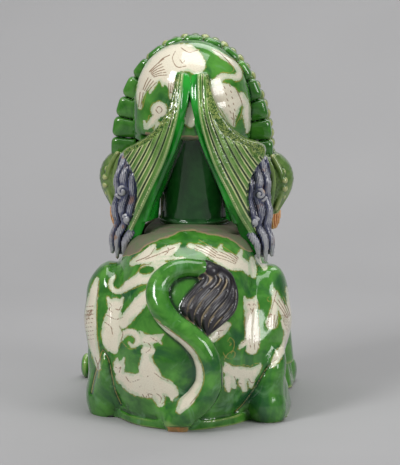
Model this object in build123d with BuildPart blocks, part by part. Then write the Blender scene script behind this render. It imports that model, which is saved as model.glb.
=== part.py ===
from build123d import *
import math
import os

# A crouching guardian lion in hollow glazed ceramic, put together from luted clay pieces.
# Frame: the animal faces +Y, its right side is +X and +Z is up. The pieces are drawn about the
# body's own middle line, and saved with the floor's origin under the middle of the whole statue.
# All lengths are in millimetres.

# ---------------------------------------------------------------- driving dimensions
middle_shift = 5.0  # the left paw is spread wider, so the body stands to the right of the middle
wall = 9.0
rim_height = 9.0
shelf_height = 201.0
head_x = 1.0  # the middle of the skull, the face and the ring round them
parting_x = 4.0  # the mane, the ears and the neck sit slightly further to the right
neck_y = 31.0
neck_radius = 38.0
neck_wall = 8.0
neck_socket = 7.0
skull_floor = 297.0
skull_top = 390.0
mask_y = 56.0  # the plane where the face is luted to the skull
ring_centre_z = 270.0
ring_inner = (61.0, 104.0)  # half width and rise of the arch
ring_outer = (86.0, 124.0)

# Level ellipses: (height, centre x, centre y, half width, half depth)
body_sections = [
    (rim_height, 0, -14, 76, 105),
    (40, 0, -13, 85, 112),
    (80, 0, -10, 88, 115),
    (120, 0, -5, 84, 110),
    (158, 1, 3, 75, 97),
    (184, 2, 12, 66, 79),
    (shelf_height, parting_x, 21, 57, 60),
]
haunch_sections = [
    (rim_height, 74, -30, 25, 30),
    (40, 74, -28, 34, 43),
    (80, 73, -24, 38, 50),
    (108, 75, -19, 35, 45),
    (132, 81, -15, 24, 33),
    (148, 85, -13, 17, 24),
    (157, 86, -12, 9, 13),
]
shank_sections = [
    (0, 0, 0, 15, 16),
    (12, 0, -1, 17, 18),
    (28, 1, -1, 14, 16),
    (52, 3, 2, 12, 15),
    (80, 5, 8, 9, 12),
]
foreleg_sections = [
    (27, 88, 102, 19, 22),
    (70, 80, 88, 24, 27),
    (110, 68, 68, 30, 33),
    (148, 58, 54, 24, 27),
    (163, 56, 49, 10, 12),
]
skull_sections = [
    (skull_floor, head_x, 30, 62.5, 53),
    (312, head_x, 31, 63.5, 56),
    (330, head_x, 32, 63, 55),
    (345, head_x, 33, 60, 52),
    (360, head_x, 35, 53, 45),
    (375, head_x, 37, 40.5, 34),
    (385, head_x, 38, 24.5, 20.5),
    (skull_top, head_x, 38, 10, 9),
]
tuft_sections = [
    (103, 31, -118, 4, 9),
    (115, 33, -114, 13, 17),
    (130, 31, -111, 23, 20),
    (146, 31, -106, 25, 21),
    (160, 34, -98, 20, 20),
    (173, 29, -88, 8, 14),
]

heel_place = {-1: (-86.0, -44.0), 1: (94.0, -62.0)}  # the left heel is tucked in and forward
front_paw_x = {-1: 99.0, 1: 83.0}  # the left front paw is spread wider
side_name = {-1: "left", 1: "right"}


# ---------------------------------------------------------------- shapes used more than once
def stacked(sections, side=1):
    """A smooth solid through level ellipses. side -1 puts it on the left."""
    with BuildPart() as solid:
        for z, x, y, half_width, half_depth in sections:
            with BuildSketch(Plane.XY.offset(z)):
                with Locations((side * x, y)):
                    Ellipse(half_width, half_depth)
        loft()
    return solid.part


def fore_and_aft(sections, side=1, centre_x=0.0):
    """A smooth solid through upright ellipses: (y, x, centre z, half width, half height)."""
    with BuildPart() as solid:
        for y, x, z, half_width, half_height in sections:
            with BuildSketch(Plane.XZ.offset(-y)):
                with Locations((centre_x + side * x, z)):
                    Ellipse(half_width, half_height)
        loft()
    return solid.part


def shrunk(sections, by, raise_floor, top):
    """The same sections, smaller by a wall's thickness, for the hollow inside."""
    inner = []
    for z, x, y, half_width, half_depth in sections:
        if half_width > 2 * by:
            inner.append((z, x, y, half_width - by, half_depth - by))
    first = inner[0]
    last = inner[-1]
    inner[0] = (first[0] + raise_floor,) + first[1:]
    inner[-1] = (min(last[0], top),) + last[1:]
    return inner


def save(part, name):
    part = Pos(middle_shift, 0, 0) * part
    part.label = name
    export_step(part, "parts/" + name + ".step")


os.makedirs("parts", exist_ok=True)

# ---------------------------------------------------------------- solids the pieces are cut to
body_solid = stacked(body_sections)
skull_solid = stacked(skull_sections)
haunch_solid = {side: stacked(haunch_sections, side) for side in (-1, 1)}
foreleg_solid = {side: stacked(foreleg_sections, side) for side in (-1, 1)}

# ---------------------------------------------------------------- neck tube
with BuildPart() as neck_tube:
    with BuildSketch(Plane.XY.offset(shelf_height - neck_socket)):
        with Locations((parting_x, neck_y)):
            Circle(neck_radius)
            Circle(neck_radius - neck_wall, mode=Mode.SUBTRACT)
    extrude(amount=skull_floor + neck_socket - shelf_height + neck_socket)
save(neck_tube.part, "neck_tube")

with BuildPart() as neck_bore:
    with BuildSketch(Plane.XY.offset(shelf_height - 4 * wall)):
        with Locations((parting_x, neck_y)):
            Circle(neck_radius)
    extrude(amount=skull_floor + neck_socket - shelf_height + 4 * wall)

# ---------------------------------------------------------------- body shell
body_hollow = stacked(shrunk(body_sections, wall, 0.0, shelf_height - wall))

with BuildPart() as body_shell:
    add(body_solid)
    add(body_hollow, mode=Mode.SUBTRACT)
    add(neck_bore.part, mode=Mode.SUBTRACT)
save(body_shell.part, "body_shell")

# ---------------------------------------------------------------- hind feet
foot_width = 34.0
foot_height = 27.0
foot_length = 88.0


def hind_foot_shape(side):
    heel_x, heel_y = heel_place[side]
    placed = [(z, heel_x + side * x, heel_y + y, a, b) for z, x, y, a, b in shank_sections]
    shank = stacked(placed)
    with BuildPart() as foot:
        add(shank)
        with BuildSketch(Plane.XY):
            with Locations((heel_x, heel_y + foot_length / 2)):
                RectangleRounded(foot_width, foot_length, 15)
        extrude(amount=foot_height, taper=12)
    return foot.part


hind_foot_solid = {side: hind_foot_shape(side) for side in (-1, 1)}

for side in (-1, 1):
    with BuildPart() as hind_foot:
        add(hind_foot_solid[side])
        add(body_solid, mode=Mode.SUBTRACT)
    save(hind_foot.part, "hind_foot_" + side_name[side])

# ---------------------------------------------------------------- haunches
for side in (-1, 1):
    with BuildPart() as haunch:
        add(haunch_solid[side])
        add(body_solid, mode=Mode.SUBTRACT)
        add(hind_foot_solid[side], mode=Mode.SUBTRACT)
    save(haunch.part, "haunch_" + side_name[side])

# ---------------------------------------------------------------- front paws and forelegs
paw_width = 45.0
paw_length = 60.0
paw_height = 31.0
paw_y = 111.0


def front_paw_shape(side):
    with BuildPart() as paw:
        with BuildSketch(Plane.XY):
            with Locations((side * front_paw_x[side], paw_y)):
                RectangleRounded(paw_width, paw_length, 14)
        extrude(amount=paw_height, taper=10)
        fillet(paw.faces().sort_by(Axis.Z)[-1].edges(), radius=7)
    return paw.part


front_paw_solid = {side: front_paw_shape(side) for side in (-1, 1)}

for side in (-1, 1):
    with BuildPart() as front_paw:
        add(front_paw_solid[side])
        add(body_solid, mode=Mode.SUBTRACT)
    save(front_paw.part, "front_paw_" + side_name[side])

for side in (-1, 1):
    with BuildPart() as foreleg:
        add(foreleg_solid[side])
        add(body_solid, mode=Mode.SUBTRACT)
        add(haunch_solid[side], mode=Mode.SUBTRACT)
        add(front_paw_solid[side], mode=Mode.SUBTRACT)
    save(foreleg.part, "foreleg_" + side_name[side])

# ---------------------------------------------------------------- foot ring
rim_outer = (80.0, 108.0)
rim_inner = (62.0, 90.0)
tail_foot = (22.0, 14.0)

with BuildPart() as base_rim:
    with BuildSketch(Plane.XY):
        with Locations((0, -14)):
            Ellipse(*rim_outer)
        with Locations((0, -14 - rim_outer[1] - 1)):
            RectangleRounded(*tail_foot, 5)
        with Locations((0, -14)):
            Ellipse(*rim_inner, mode=Mode.SUBTRACT)
    extrude(amount=rim_height)
    for side in (-1, 1):
        add(hind_foot_solid[side], mode=Mode.SUBTRACT)
        add(front_paw_solid[side], mode=Mode.SUBTRACT)
save(base_rim.part, "base_rim")

# ---------------------------------------------------------------- tail and tuft
tail_radius = 13.0
tail_path_points = [
    (0, -127, 17),
    (15, -129, 32),
    (28, -129, 58),
    (24, -128, 82),
    (8, -126, 104),
    (-11, -120, 121),
    (-19, -114, 140),
    (-12, -100, 159),
    (4, -93, 168),
    (20, -92, 168),
]

with BuildPart() as tail_roll:
    with BuildLine() as tail_path:
        Spline(*tail_path_points)
    with BuildSketch(Plane(origin=tail_path.line @ 0, z_dir=tail_path.line % 0)):
        Circle(tail_radius)
    sweep(path=tail_path.line)

with BuildPart() as tail:
    add(tail_roll.part)
    add(body_solid, mode=Mode.SUBTRACT)
    add(base_rim.part, mode=Mode.SUBTRACT)
save(tail.part, "tail")

with BuildPart() as tail_tuft:
    add(stacked(tuft_sections))
    add(body_solid, mode=Mode.SUBTRACT)
    add(tail_roll.part, mode=Mode.SUBTRACT)
save(tail_tuft.part, "tail_tuft")

# ---------------------------------------------------------------- skull
skull_hollow = stacked(shrunk(skull_sections, wall, neck_socket + wall, skull_top - wall))

with BuildPart() as head_shell:
    add(skull_solid)
    add(skull_hollow, mode=Mode.SUBTRACT)
    add(neck_bore.part, mode=Mode.SUBTRACT)
    split(bisect_by=Plane.XZ.offset(-mask_y), keep=Keep.TOP)
save(head_shell.part, "head_shell")

# ---------------------------------------------------------------- face
mouth_z = 262.0
muzzle_sections = [
    (mask_y, 0, 306, 70, 68),
    (78, 0, 303, 69, 63),
    (98, 0, 293, 60, 47),
    (116, 0, 285, 51, 34),
    (131, 0, 282, 43, 24),
    (138, 0, 282, 30, 14),
]
jaw_sections = [
    (mask_y, 0, 239, 56, 25),
    (88, 0, 237, 50, 21),
    (112, 0, 237, 42, 16),
    (128, 0, 240, 30, 10),
]
muzzle_solid = fore_and_aft(muzzle_sections, 1, head_x)
jaw_solid = fore_and_aft(jaw_sections, 1, head_x)
mask_hollow = fore_and_aft(
    [(mask_y, 0, 310, 60, 56), (74, 0, 309, 56, 48), (88, 0, 306, 38, 28)], 1, head_x
)
mouth_length = 62.0
mouth_width = 66.0

with BuildPart() as mouth_hollow:
    with BuildSketch(Plane.XY.offset(248)):
        with Locations((head_x, 118)):
            RectangleRounded(mouth_width, mouth_length, 20)
    extrude(amount=mouth_z - 248 + 8)

with BuildPart() as face_mask:
    add(muzzle_solid)
    add(mask_hollow, mode=Mode.SUBTRACT)
    add(neck_bore.part, mode=Mode.SUBTRACT)
    add(mouth_hollow.part, mode=Mode.SUBTRACT)
save(face_mask.part, "face_mask")

with BuildPart() as lower_jaw:
    add(jaw_solid)
    add(muzzle_solid, mode=Mode.SUBTRACT)
    add(neck_bore.part, mode=Mode.SUBTRACT)
    add(mouth_hollow.part, mode=Mode.SUBTRACT)
save(lower_jaw.part, "lower_jaw")

with BuildPart() as tongue:
    with BuildSketch(Plane.XY.offset(248)):
        with Locations((head_x, 104)):
            SlotOverall(30, 26, rotation=90)
    extrude(amount=6)
save(tongue.part, "tongue")

nose_sections = [
    (124, 0, 298, 19, 9),
    (134, 0, 297, 20, 10),
    (144, 0, 295, 15, 8),
]
with BuildPart() as nose:
    add(fore_and_aft(nose_sections, 1, head_x))
    add(muzzle_solid, mode=Mode.SUBTRACT)
save(nose.part, "nose")

eye_radius = 15.0
eye_spread = 31.0
eye_place = (96.0, 320.0)

with BuildPart() as eyes:
    for side in (-1, 1):
        with Locations((head_x + side * eye_spread, *eye_place)):
            Sphere(eye_radius)
    add(muzzle_solid, mode=Mode.SUBTRACT)
save(eyes.part, "eyes")

brow_sections = [
    (78, 31, 348, 22, 9),
    (90, 31, 345, 27, 9),
    (102, 30, 341, 19, 6),
]
with BuildPart() as eyebrows:
    for side in (-1, 1):
        add(fore_and_aft(brow_sections, side, head_x))
    add(muzzle_solid, mode=Mode.SUBTRACT)
    add(eyes.part, mode=Mode.SUBTRACT)
save(eyebrows.part, "eyebrows")

tooth_radius = 3.6
fang_radius = 5.0


def tooth_row(root_z, length, fang_length, spread, front_y, up):
    """Pointed teeth along the front of the mouth, with a longer fang at each corner."""
    with BuildPart() as row:
        for step in range(-3, 4):
            at_corner = abs(step) == 3
            height = fang_length if at_corner else length
            root_radius = fang_radius if at_corner else tooth_radius
            x = head_x + spread * step / 3
            y = front_y - 10.0 * (step / 3) ** 2
            with Locations(Location((x, y, root_z), (0 if up else 180, 0, 0))):
                Cone(root_radius, 1.0, height, align=(Align.CENTER, Align.CENTER, Align.MIN))
    return row.part


upper_teeth = tooth_row(mouth_z + 8, 9, 15, 26, 121, False)
save(upper_teeth, "upper_teeth")
lower_teeth_row = tooth_row(248, 6, 9, 24, 124, True)

with BuildPart() as lower_teeth:
    add(lower_teeth_row)
    add(tongue.part, mode=Mode.SUBTRACT)
    add(upper_teeth, mode=Mode.SUBTRACT)
save(lower_teeth.part, "lower_teeth")

beard_sections = [
    (190, head_x, 92, 6, 6),
    (205, head_x, 94, 22, 12),
    (222, head_x, 92, 32, 17),
    (238, head_x, 88, 34, 18),
]
with BuildPart() as chin_beard:
    add(stacked(beard_sections))
    add(jaw_solid, mode=Mode.SUBTRACT)
    add(body_solid, mode=Mode.SUBTRACT)
    add(neck_bore.part, mode=Mode.SUBTRACT)
save(chin_beard.part, "chin_beard")

# ---------------------------------------------------------------- arch of lobes round the dome
lobe_count = 15
arch_start = -4.0
arch_end = 184.0
lobe_depth = 15.0
lobe_gap = 0.02  # the share of a lobe's turn that is left open


def on_arch(size, degrees):
    angle = math.radians(degrees)
    return (head_x + size[0] * math.cos(angle), ring_centre_z + size[1] * math.sin(angle))


def even_turns(count, size):
    """The turns that cut the arch into pieces of one length."""
    turns = [arch_start + (arch_end - arch_start) * step / 400 for step in range(401)]
    run = [0.0]
    for before, after in zip(turns[:-1], turns[1:]):
        run.append(run[-1] + math.dist(on_arch(size, before), on_arch(size, after)))
    cuts = []
    for number in range(count + 1):
        wanted = run[-1] * number / count
        step = min(range(401), key=lambda i: abs(run[i] - wanted))
        cuts.append(turns[step])
    return cuts


lobe_cuts = even_turns(lobe_count, ring_outer)
with BuildPart() as scallop_ring:
    for start, end in zip(lobe_cuts[:-1], lobe_cuts[1:]):
        low = start + (end - start) * lobe_gap
        high = end - (end - start) * lobe_gap
        corners = [
            on_arch(ring_inner, low),
            on_arch(ring_outer, low),
            on_arch(ring_outer, high),
            on_arch(ring_inner, high),
        ]
        with BuildSketch(Plane.XZ.offset(-mask_y)):
            Polygon(*corners, align=None)
            fillet(vertices().sort_by_distance((head_x, ring_centre_z))[-2:], radius=5)
    extrude(amount=lobe_depth)
    add(skull_solid, mode=Mode.SUBTRACT)
save(scallop_ring.part, "scallop_ring")

# ---------------------------------------------------------------- arch of curls in front of it
curl_count = 18
curl_radius = 7.6
curl_path = (79.2, 115.4)
curl_depth = 15.0

curl_cuts = even_turns(curl_count, curl_path)
with BuildPart() as curl_ring:
    with BuildSketch(Plane.XZ.offset(-mask_y)):
        for start, end in zip(curl_cuts[:-1], curl_cuts[1:]):
            with Locations(on_arch(curl_path, (start + end) / 2)):
                Circle(curl_radius)
    extrude(amount=-curl_depth)
    fillet(curl_ring.faces().sort_by(Axis.Y)[-curl_count:].edges(), radius=4)
save(curl_ring.part, "curl_ring")

# ---------------------------------------------------------------- mane sheets
sheet_thickness = 15.0
sheet_outline = [
    (0.3, 368),
    (17, 368),
    (25, 345),
    (39, 317),
    (52, 302),
    (64, 287),
    (71, 277),
    (61, 240),
    (62, 215),
    (75, 185),
    (73, 168),
    (66, 168),
    (56, 183),
    (41, 222),
    (25, 262),
    (9, 303),
    (0.3, 327),
]
sheet_lean = 14.0  # the outer edge turns forward, round the head
sheet_y = -30.0


def mane_sheet_shape(side):
    lean = math.radians(sheet_lean)
    plane = Plane(
        origin=(parting_x, sheet_y, 0),
        x_dir=(math.cos(lean), side * math.sin(lean), 0),
        z_dir=(side * math.sin(lean), -math.cos(lean), 0),
    )
    with BuildPart() as sheet:
        with BuildSketch(plane):
            with BuildLine():
                Polyline(*[(side * x, z) for x, z in sheet_outline], close=True)
            make_face()
        extrude(amount=sheet_thickness / 2, both=True)
    return sheet.part


mane_sheet_solid = {side: mane_sheet_shape(side) for side in (-1, 1)}

for side in (-1, 1):
    with BuildPart() as mane_sheet:
        add(mane_sheet_solid[side])
        add(skull_solid, mode=Mode.SUBTRACT)
        add(body_solid, mode=Mode.SUBTRACT)
        add(haunch_solid[side], mode=Mode.SUBTRACT)
        split(bisect_by=Plane.YZ.offset(parting_x), keep=Keep.TOP if side > 0 else Keep.BOTTOM)
    save(mane_sheet.part, "mane_sheet_" + side_name[side])

# ---------------------------------------------------------------- mane locks
lock_sections = [
    (161, 72, -6, 8, 8),
    (175, 70, -6, 15, 13),
    (200, 68, 0, 16, 17),
    (230, 66, 10, 17, 21),
    (255, 66, 18, 16, 22),
    (272, 68, 24, 9, 14),
]


def mane_lock_shape(side):
    shifted = [(z, x + side * parting_x, y, a, b) for z, x, y, a, b in lock_sections]
    return stacked(shifted, side)


mane_lock_solid = {side: mane_lock_shape(side) for side in (-1, 1)}

for side in (-1, 1):
    with BuildPart() as mane_locks:
        add(mane_lock_solid[side])
        add(mane_sheet_solid[side], mode=Mode.SUBTRACT)
        add(skull_solid, mode=Mode.SUBTRACT)
        add(muzzle_solid, mode=Mode.SUBTRACT)
        add(body_solid, mode=Mode.SUBTRACT)
        add(haunch_solid[side], mode=Mode.SUBTRACT)
    save(mane_locks.part, "mane_locks_" + side_name[side])

# ---------------------------------------------------------------- ears and their beads
ear_sections = [
    (204, 82, 44, 5, 8),
    (220, 83, 46, 15, 16),
    (238, 81, 50, 24, 22),
    (256, 79, 52, 22, 21),
    (268, 76, 53, 12, 13),
]


def ear_shape(side):
    shifted = [(z, x + side * parting_x, y, a, b) for z, x, y, a, b in ear_sections]
    return stacked(shifted, side)


ear_solid = {side: ear_shape(side) for side in (-1, 1)}

for side in (-1, 1):
    with BuildPart() as ear:
        add(ear_solid[side])
        add(mane_lock_solid[side], mode=Mode.SUBTRACT)
        add(muzzle_solid, mode=Mode.SUBTRACT)
        add(skull_solid, mode=Mode.SUBTRACT)
        add(jaw_solid, mode=Mode.SUBTRACT)
        add(scallop_ring.part, mode=Mode.SUBTRACT)
        add(curl_ring.part, mode=Mode.SUBTRACT)
    save(ear.part, "ear_" + side_name[side])

bead_radius = 4.0
bead_count = 4
bead_pitch = 8.6
bead_start_z = 225.0

with BuildPart() as ear_beads:
    for side in (-1, 1):
        for number in range(bead_count):
            z = bead_start_z + bead_pitch * number
            reach = 13.5 + 5.5 * math.sin(math.pi * (number + 0.5) / bead_count)
            with Locations((parting_x + side * (82 + reach * 0.75), 48 - reach * 0.78, z)):
                Sphere(bead_radius)
    for side in (-1, 1):
        add(ear_solid[side], mode=Mode.SUBTRACT)
        add(mane_lock_solid[side], mode=Mode.SUBTRACT)
save(ear_beads.part, "ear_beads")

# ---------------------------------------------------------------- orange cheek tufts
cheek_tuft_sections = [
    (182, 87, 66, 5, 7),
    (194, 87, 67, 9, 12),
    (212, 82, 66, 12, 14),
    (232, 68, 66, 14, 15),
    (246, 58, 66, 12, 13),
]

with BuildPart() as cheek_tufts:
    for side in (-1, 1):
        add(stacked([(z, x + side * parting_x, y, a, b) for z, x, y, a, b in cheek_tuft_sections], side))
    for side in (-1, 1):
        add(ear_solid[side], mode=Mode.SUBTRACT)
    add(muzzle_solid, mode=Mode.SUBTRACT)
    add(jaw_solid, mode=Mode.SUBTRACT)
save(cheek_tufts.part, "cheek_tufts")
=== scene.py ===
import math

import bpy
import numpy as np
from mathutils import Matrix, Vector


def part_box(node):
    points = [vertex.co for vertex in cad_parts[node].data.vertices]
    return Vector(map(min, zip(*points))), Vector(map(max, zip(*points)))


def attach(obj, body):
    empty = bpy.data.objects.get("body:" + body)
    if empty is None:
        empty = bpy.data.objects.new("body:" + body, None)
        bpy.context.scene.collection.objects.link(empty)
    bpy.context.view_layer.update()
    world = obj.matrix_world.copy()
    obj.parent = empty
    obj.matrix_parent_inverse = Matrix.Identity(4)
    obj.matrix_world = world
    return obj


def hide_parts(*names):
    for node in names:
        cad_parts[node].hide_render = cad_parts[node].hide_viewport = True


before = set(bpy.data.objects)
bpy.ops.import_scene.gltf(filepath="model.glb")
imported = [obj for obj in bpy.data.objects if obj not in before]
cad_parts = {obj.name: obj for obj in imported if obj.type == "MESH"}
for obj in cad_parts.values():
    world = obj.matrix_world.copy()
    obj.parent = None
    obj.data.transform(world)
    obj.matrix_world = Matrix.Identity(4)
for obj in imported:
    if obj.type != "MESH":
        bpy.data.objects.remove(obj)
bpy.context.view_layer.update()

import openvdb as vdb
from mathutils import Vector

# A hollow glazed guardian lion, seen from behind. Every clay piece is sculpted here as a distance
# field, in millimetres, round the CAD solid that it stands for, and then skinned with a mesh.
# The animal faces +Y and its right side is +X, as in the frame.

MM = 0.001
BODY_STEP = 1.5
HEAD_STEP = 1.2
FINE_STEP = 0.9
TAIL_STEP = 1.0
REACH = 12.0  # how far from a CAD surface its distance is known
FAR_REACH = 22.0  # and for the big forms of the body, which melt softly
LAP = 1.2  # how far a piece runs on under its neighbour's edge
FLOOR_GAP = 0.4  # how far above the floor the haunches are cut off
BENCH_X = 5.0  # the body's own middle line, to the right of the frame's origin


# ================================================================ sampling blocks
class Block:
    """A box of evenly spaced sample points."""

    def __init__(self, low, high, step):
        self.step = step
        self.start = np.floor(np.array(low) / step).astype(int)
        self.count = np.ceil(np.array(high) / step).astype(int) - self.start + 1
        along = [
            ((self.start[i] + np.arange(self.count[i])) * step).astype(np.float32) for i in range(3)
        ]
        self.x = along[0][:, None, None]
        self.y = along[1][None, :, None]
        self.z = along[2][None, None, :]

    def full(self, value):
        return np.full(tuple(self.count), value, np.float32)


def box_mm(node):
    """A node's box, measured from the body's own middle line."""
    low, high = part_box(node)
    shift = np.array([BENCH_X, 0, 0])
    return np.array(low) / MM - shift, np.array(high) / MM - shift


def block_round(nodes, step, margin=7.0):
    lows, highs = zip(*[box_mm(node) for node in nodes])
    return Block(np.min(lows, 0) - margin, np.max(highs, 0) + margin, step)


level_sets = {}


def cad_distance(node, block, reach=REACH):
    """Signed distance to a CAD node, negative inside, known to within that reach of its surface."""
    key = (node, block.step)
    if key not in level_sets:
        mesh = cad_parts[node].data
        points = np.empty(len(mesh.vertices) * 3, np.float32)
        mesh.vertices.foreach_get("co", points)
        mesh.calc_loop_triangles()
        corners = np.empty(len(mesh.loop_triangles) * 3, np.int32)
        mesh.loop_triangles.foreach_get("vertices", corners)
        level_sets[key] = vdb.FloatGrid.createLevelSetFromPolygons(
            (points.reshape(-1, 3) / MM - (BENCH_X, 0, 0)).astype(np.float32),
            triangles=corners.reshape(-1, 3).astype(np.uint32),
            transform=vdb.createLinearTransform(voxelSize=block.step),
            halfWidth=reach / block.step,
        )
    distance = block.full(0.0)
    level_sets[key].copyToArray(distance, ijk=tuple(int(i) for i in block.start))
    return distance


def sample(block, field, points):
    """The field's value at each point, read between the sample points."""
    place = points / block.step - block.start
    place = np.clip(place, 0, np.array(block.count) - 1.001)
    corner = np.floor(place).astype(int)
    part = (place - corner).astype(np.float32)
    value = 0
    for i in (0, 1):
        for j in (0, 1):
            for k in (0, 1):
                weight = 1
                for axis, ahead in enumerate((i, j, k)):
                    weight = weight * (part[:, axis] if ahead else 1 - part[:, axis])
                value = value + weight * field[corner[:, 0] + i, corner[:, 1] + j, corner[:, 2] + k]
    return value


def blurred(field, block, radius):
    """The field averaged over a cube of that radius, twice."""
    n = max(1, int(round(radius / block.step)))
    for _ in range(2):
        for axis in range(3):
            pad = [(0, 0)] * 3
            pad[axis] = (n + 1, n)
            total = np.cumsum(np.pad(field, pad, mode="edge"), axis=axis, dtype=np.float64)
            ahead = [slice(None)] * 3
            behind = [slice(None)] * 3
            ahead[axis] = slice(2 * n + 1, None)
            behind[axis] = slice(0, -2 * n - 1)
            field = ((total[tuple(ahead)] - total[tuple(behind)]) / (2 * n + 1)).astype(np.float32)
    return field


# ================================================================ ways to join shapes
def melt(a, b, width):
    """Union with a fillet of that width."""
    if np.isscalar(width) and width <= 0:
        return np.minimum(a, b)
    h = np.clip(0.5 + 0.5 * (b - a) / width, 0, 1)
    return b + (a - b) * h - width * h * (1 - h)


def carve(a, b, width):
    """a without b, with a soft edge."""
    return -melt(-a, b, width)


def smooth_ramp(value, low, high):
    t = np.clip((value - low) / (high - low), 0, 1)
    return t * t * (3 - 2 * t)


def bell(value, middle, width):
    return np.exp(-(((value - middle) / width) ** 2))


def flowing(points, per_leg=6):
    """A smooth curve through the points, whatever number of columns they have."""
    points = np.array(points, float)
    before = 2 * points[0] - points[1]
    after = 2 * points[-1] - points[-2]
    p = np.vstack([before, points, after])
    out = []
    for i in range(1, len(p) - 2):
        for t in np.arange(per_leg) / per_leg:
            slope = p[i + 1] - p[i - 1]
            bend = 2 * p[i - 1] - 5 * p[i] + 4 * p[i + 1] - p[i + 2]
            twist = 3 * p[i] - p[i - 1] - 3 * p[i + 1] + p[i + 2]
            out.append(p[i] + 0.5 * (slope * t + bend * t**2 + twist * t**3))
    out.append(points[-1])
    return np.array(out)


def strand(block, path):
    """Distance to a roll of clay along path: rows of (x, y, z, radius)."""
    best = block.full(1e3)
    for a, b in zip(path[:-1], path[1:]):
        leg = b[:3] - a[:3]
        length2 = max(float(leg @ leg), 1e-6)
        dx, dy, dz = block.x - a[0], block.y - a[1], block.z - a[2]
        t = np.clip((dx * leg[0] + dy * leg[1] + dz * leg[2]) / length2, 0, 1)
        gap = np.sqrt((dx - t * leg[0]) ** 2 + (dy - t * leg[1]) ** 2 + (dz - t * leg[2]) ** 2)
        np.minimum(best, gap - (a[3] + (b[3] - a[3]) * t), out=best)
    return best


def egg(block, centre, radii, turn=0.0):
    """Distance to an ellipsoid, turned about Y by that many degrees."""
    c, s = math.cos(math.radians(turn)), math.sin(math.radians(turn))
    dx, dy, dz = block.x - centre[0], block.y - centre[1], block.z - centre[2]
    px, pz = c * dx + s * dz, -s * dx + c * dz
    rx, ry, rz = radii
    near = np.sqrt((px / rx) ** 2 + (dy / ry) ** 2 + (pz / rz) ** 2)
    slope = np.sqrt((px / rx**2) ** 2 + (dy / ry**2) ** 2 + (pz / rz**2) ** 2)
    return near * (near - 1) / np.maximum(slope, 1e-4)


def clay_wobble(block, size, amount):
    """Slow unevenness of hand-pressed clay."""
    return amount * (
        np.sin(block.x / size + 1.3 * np.sin(block.z / (1.7 * size)))
        * np.sin(block.z / (1.2 * size) + 0.9)
        + 0.6 * np.sin(block.y / size + block.z / (0.8 * size))
    )


# ================================================================ skinning
def skin(name, block, field, rounds=2):
    """A closed mesh on the field's zero surface, with its points in millimetres as well."""
    inside = field < 0
    low, high = [], []
    for axis in range(3):
        used = np.where(inside.any(axis=tuple(i for i in range(3) if i != axis)))[0]
        low.append(max(used[0] - 3, 0))
        high.append(min(used[-1] + 4, block.count[axis]))
    part = np.ascontiguousarray(field[low[0] : high[0], low[1] : high[1], low[2] : high[2]])
    grid = vdb.FloatGrid(float(block.step) * 3)
    grid.transform = vdb.createLinearTransform(voxelSize=block.step)
    grid.copyFromArray(part, ijk=tuple(int(block.start[i] + low[i]) for i in range(3)))
    points, quads = grid.convertToQuads(isovalue=0.0)
    points = relaxed(points.astype(np.float64), quads, rounds)
    mesh = bpy.data.meshes.new(name)
    mesh.vertices.add(len(points))
    mesh.vertices.foreach_set("co", ((points + (BENCH_X, 0, 0)) * MM).astype(np.float32).ravel())
    mesh.loops.add(len(quads) * 4)
    mesh.loops.foreach_set("vertex_index", quads.astype(np.int32).ravel())
    mesh.polygons.add(len(quads))
    mesh.polygons.foreach_set("loop_start", np.arange(0, len(quads) * 4, 4, dtype=np.int32))
    mesh.update(calc_edges=True)
    mesh.validate()
    mesh.shade_smooth()
    piece = bpy.data.objects.new(name, mesh)
    bpy.context.scene.collection.objects.link(piece)
    return piece, points


def relaxed(points, quads, rounds):
    """Evens out the steps of the sampling, without shrinking the form."""
    pairs = np.vstack([quads[:, [i, (i + 1) % 4]] for i in range(4)])
    here, there = pairs.T
    size = len(points)
    count = np.bincount(here, minlength=size) + np.bincount(there, minlength=size)
    for step in range(2 * rounds):
        total = np.zeros_like(points)
        for axis in range(3):
            total[:, axis] = np.bincount(here, points[there, axis], size)
            total[:, axis] += np.bincount(there, points[here, axis], size)
        mean = total / np.maximum(count, 1)[:, None]
        points = points + (mean - points) * (0.5 if step % 2 == 0 else -0.51)
    return points


def note(piece, name, values):
    """Keeps a number for each vertex, for the glaze to read."""
    layer = piece.data.attributes.new(name, "FLOAT", "POINT")
    layer.data.foreach_set("value", np.asarray(values, np.float32))


def finish_piece(node, block, field, around, material, slot, rounds=2, painter=None, extra=None):
    """Skins one clay piece, notes how raised or hollow each spot is, and puts it on the frame."""
    piece, points = skin(node.replace("_", " ").title().replace(" ", "_"), block, field, rounds)
    note(piece, "ridge", sample(block, blurred(around, block, 1.6) - around, points))
    note(piece, "swell", sample(block, blurred(around, block, 4.5) - around, points))
    if painter is not None:
        normals = np.empty(len(points) * 3, np.float32)
        piece.data.vertices.foreach_get("normal", normals)
        painter(piece, points, normals.reshape(-1, 3))
    if extra is not None:
        for name, values in extra(points).items():
            note(piece, name, values)
    piece.data.materials.append(material)
    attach(piece, "root")
    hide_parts(node)
    return piece


# ================================================================ the painter's plane
CAMERA_TURN = math.radians(5.5)  # the camera stands to the right of the tail
CAMERA_RISE = math.radians(12.0)
EYE_RIGHT = np.array([math.cos(CAMERA_TURN), math.sin(CAMERA_TURN), 0.0])
EYE_FORWARD = np.array([
    -math.sin(CAMERA_TURN) * math.cos(CAMERA_RISE),
    math.cos(CAMERA_TURN) * math.cos(CAMERA_RISE),
    -math.sin(CAMERA_RISE),
])
EYE_UP = np.cross(EYE_RIGHT, EYE_FORWARD)
TAIL_ROOT = np.array([0.0, -125.0, 0.0])


def seen_from_behind(points):
    """Where each point lies in the painter's plane: across from the tail root, and up."""
    flat = points - TAIL_ROOT
    return flat @ EYE_RIGHT, flat @ EYE_UP


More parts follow.
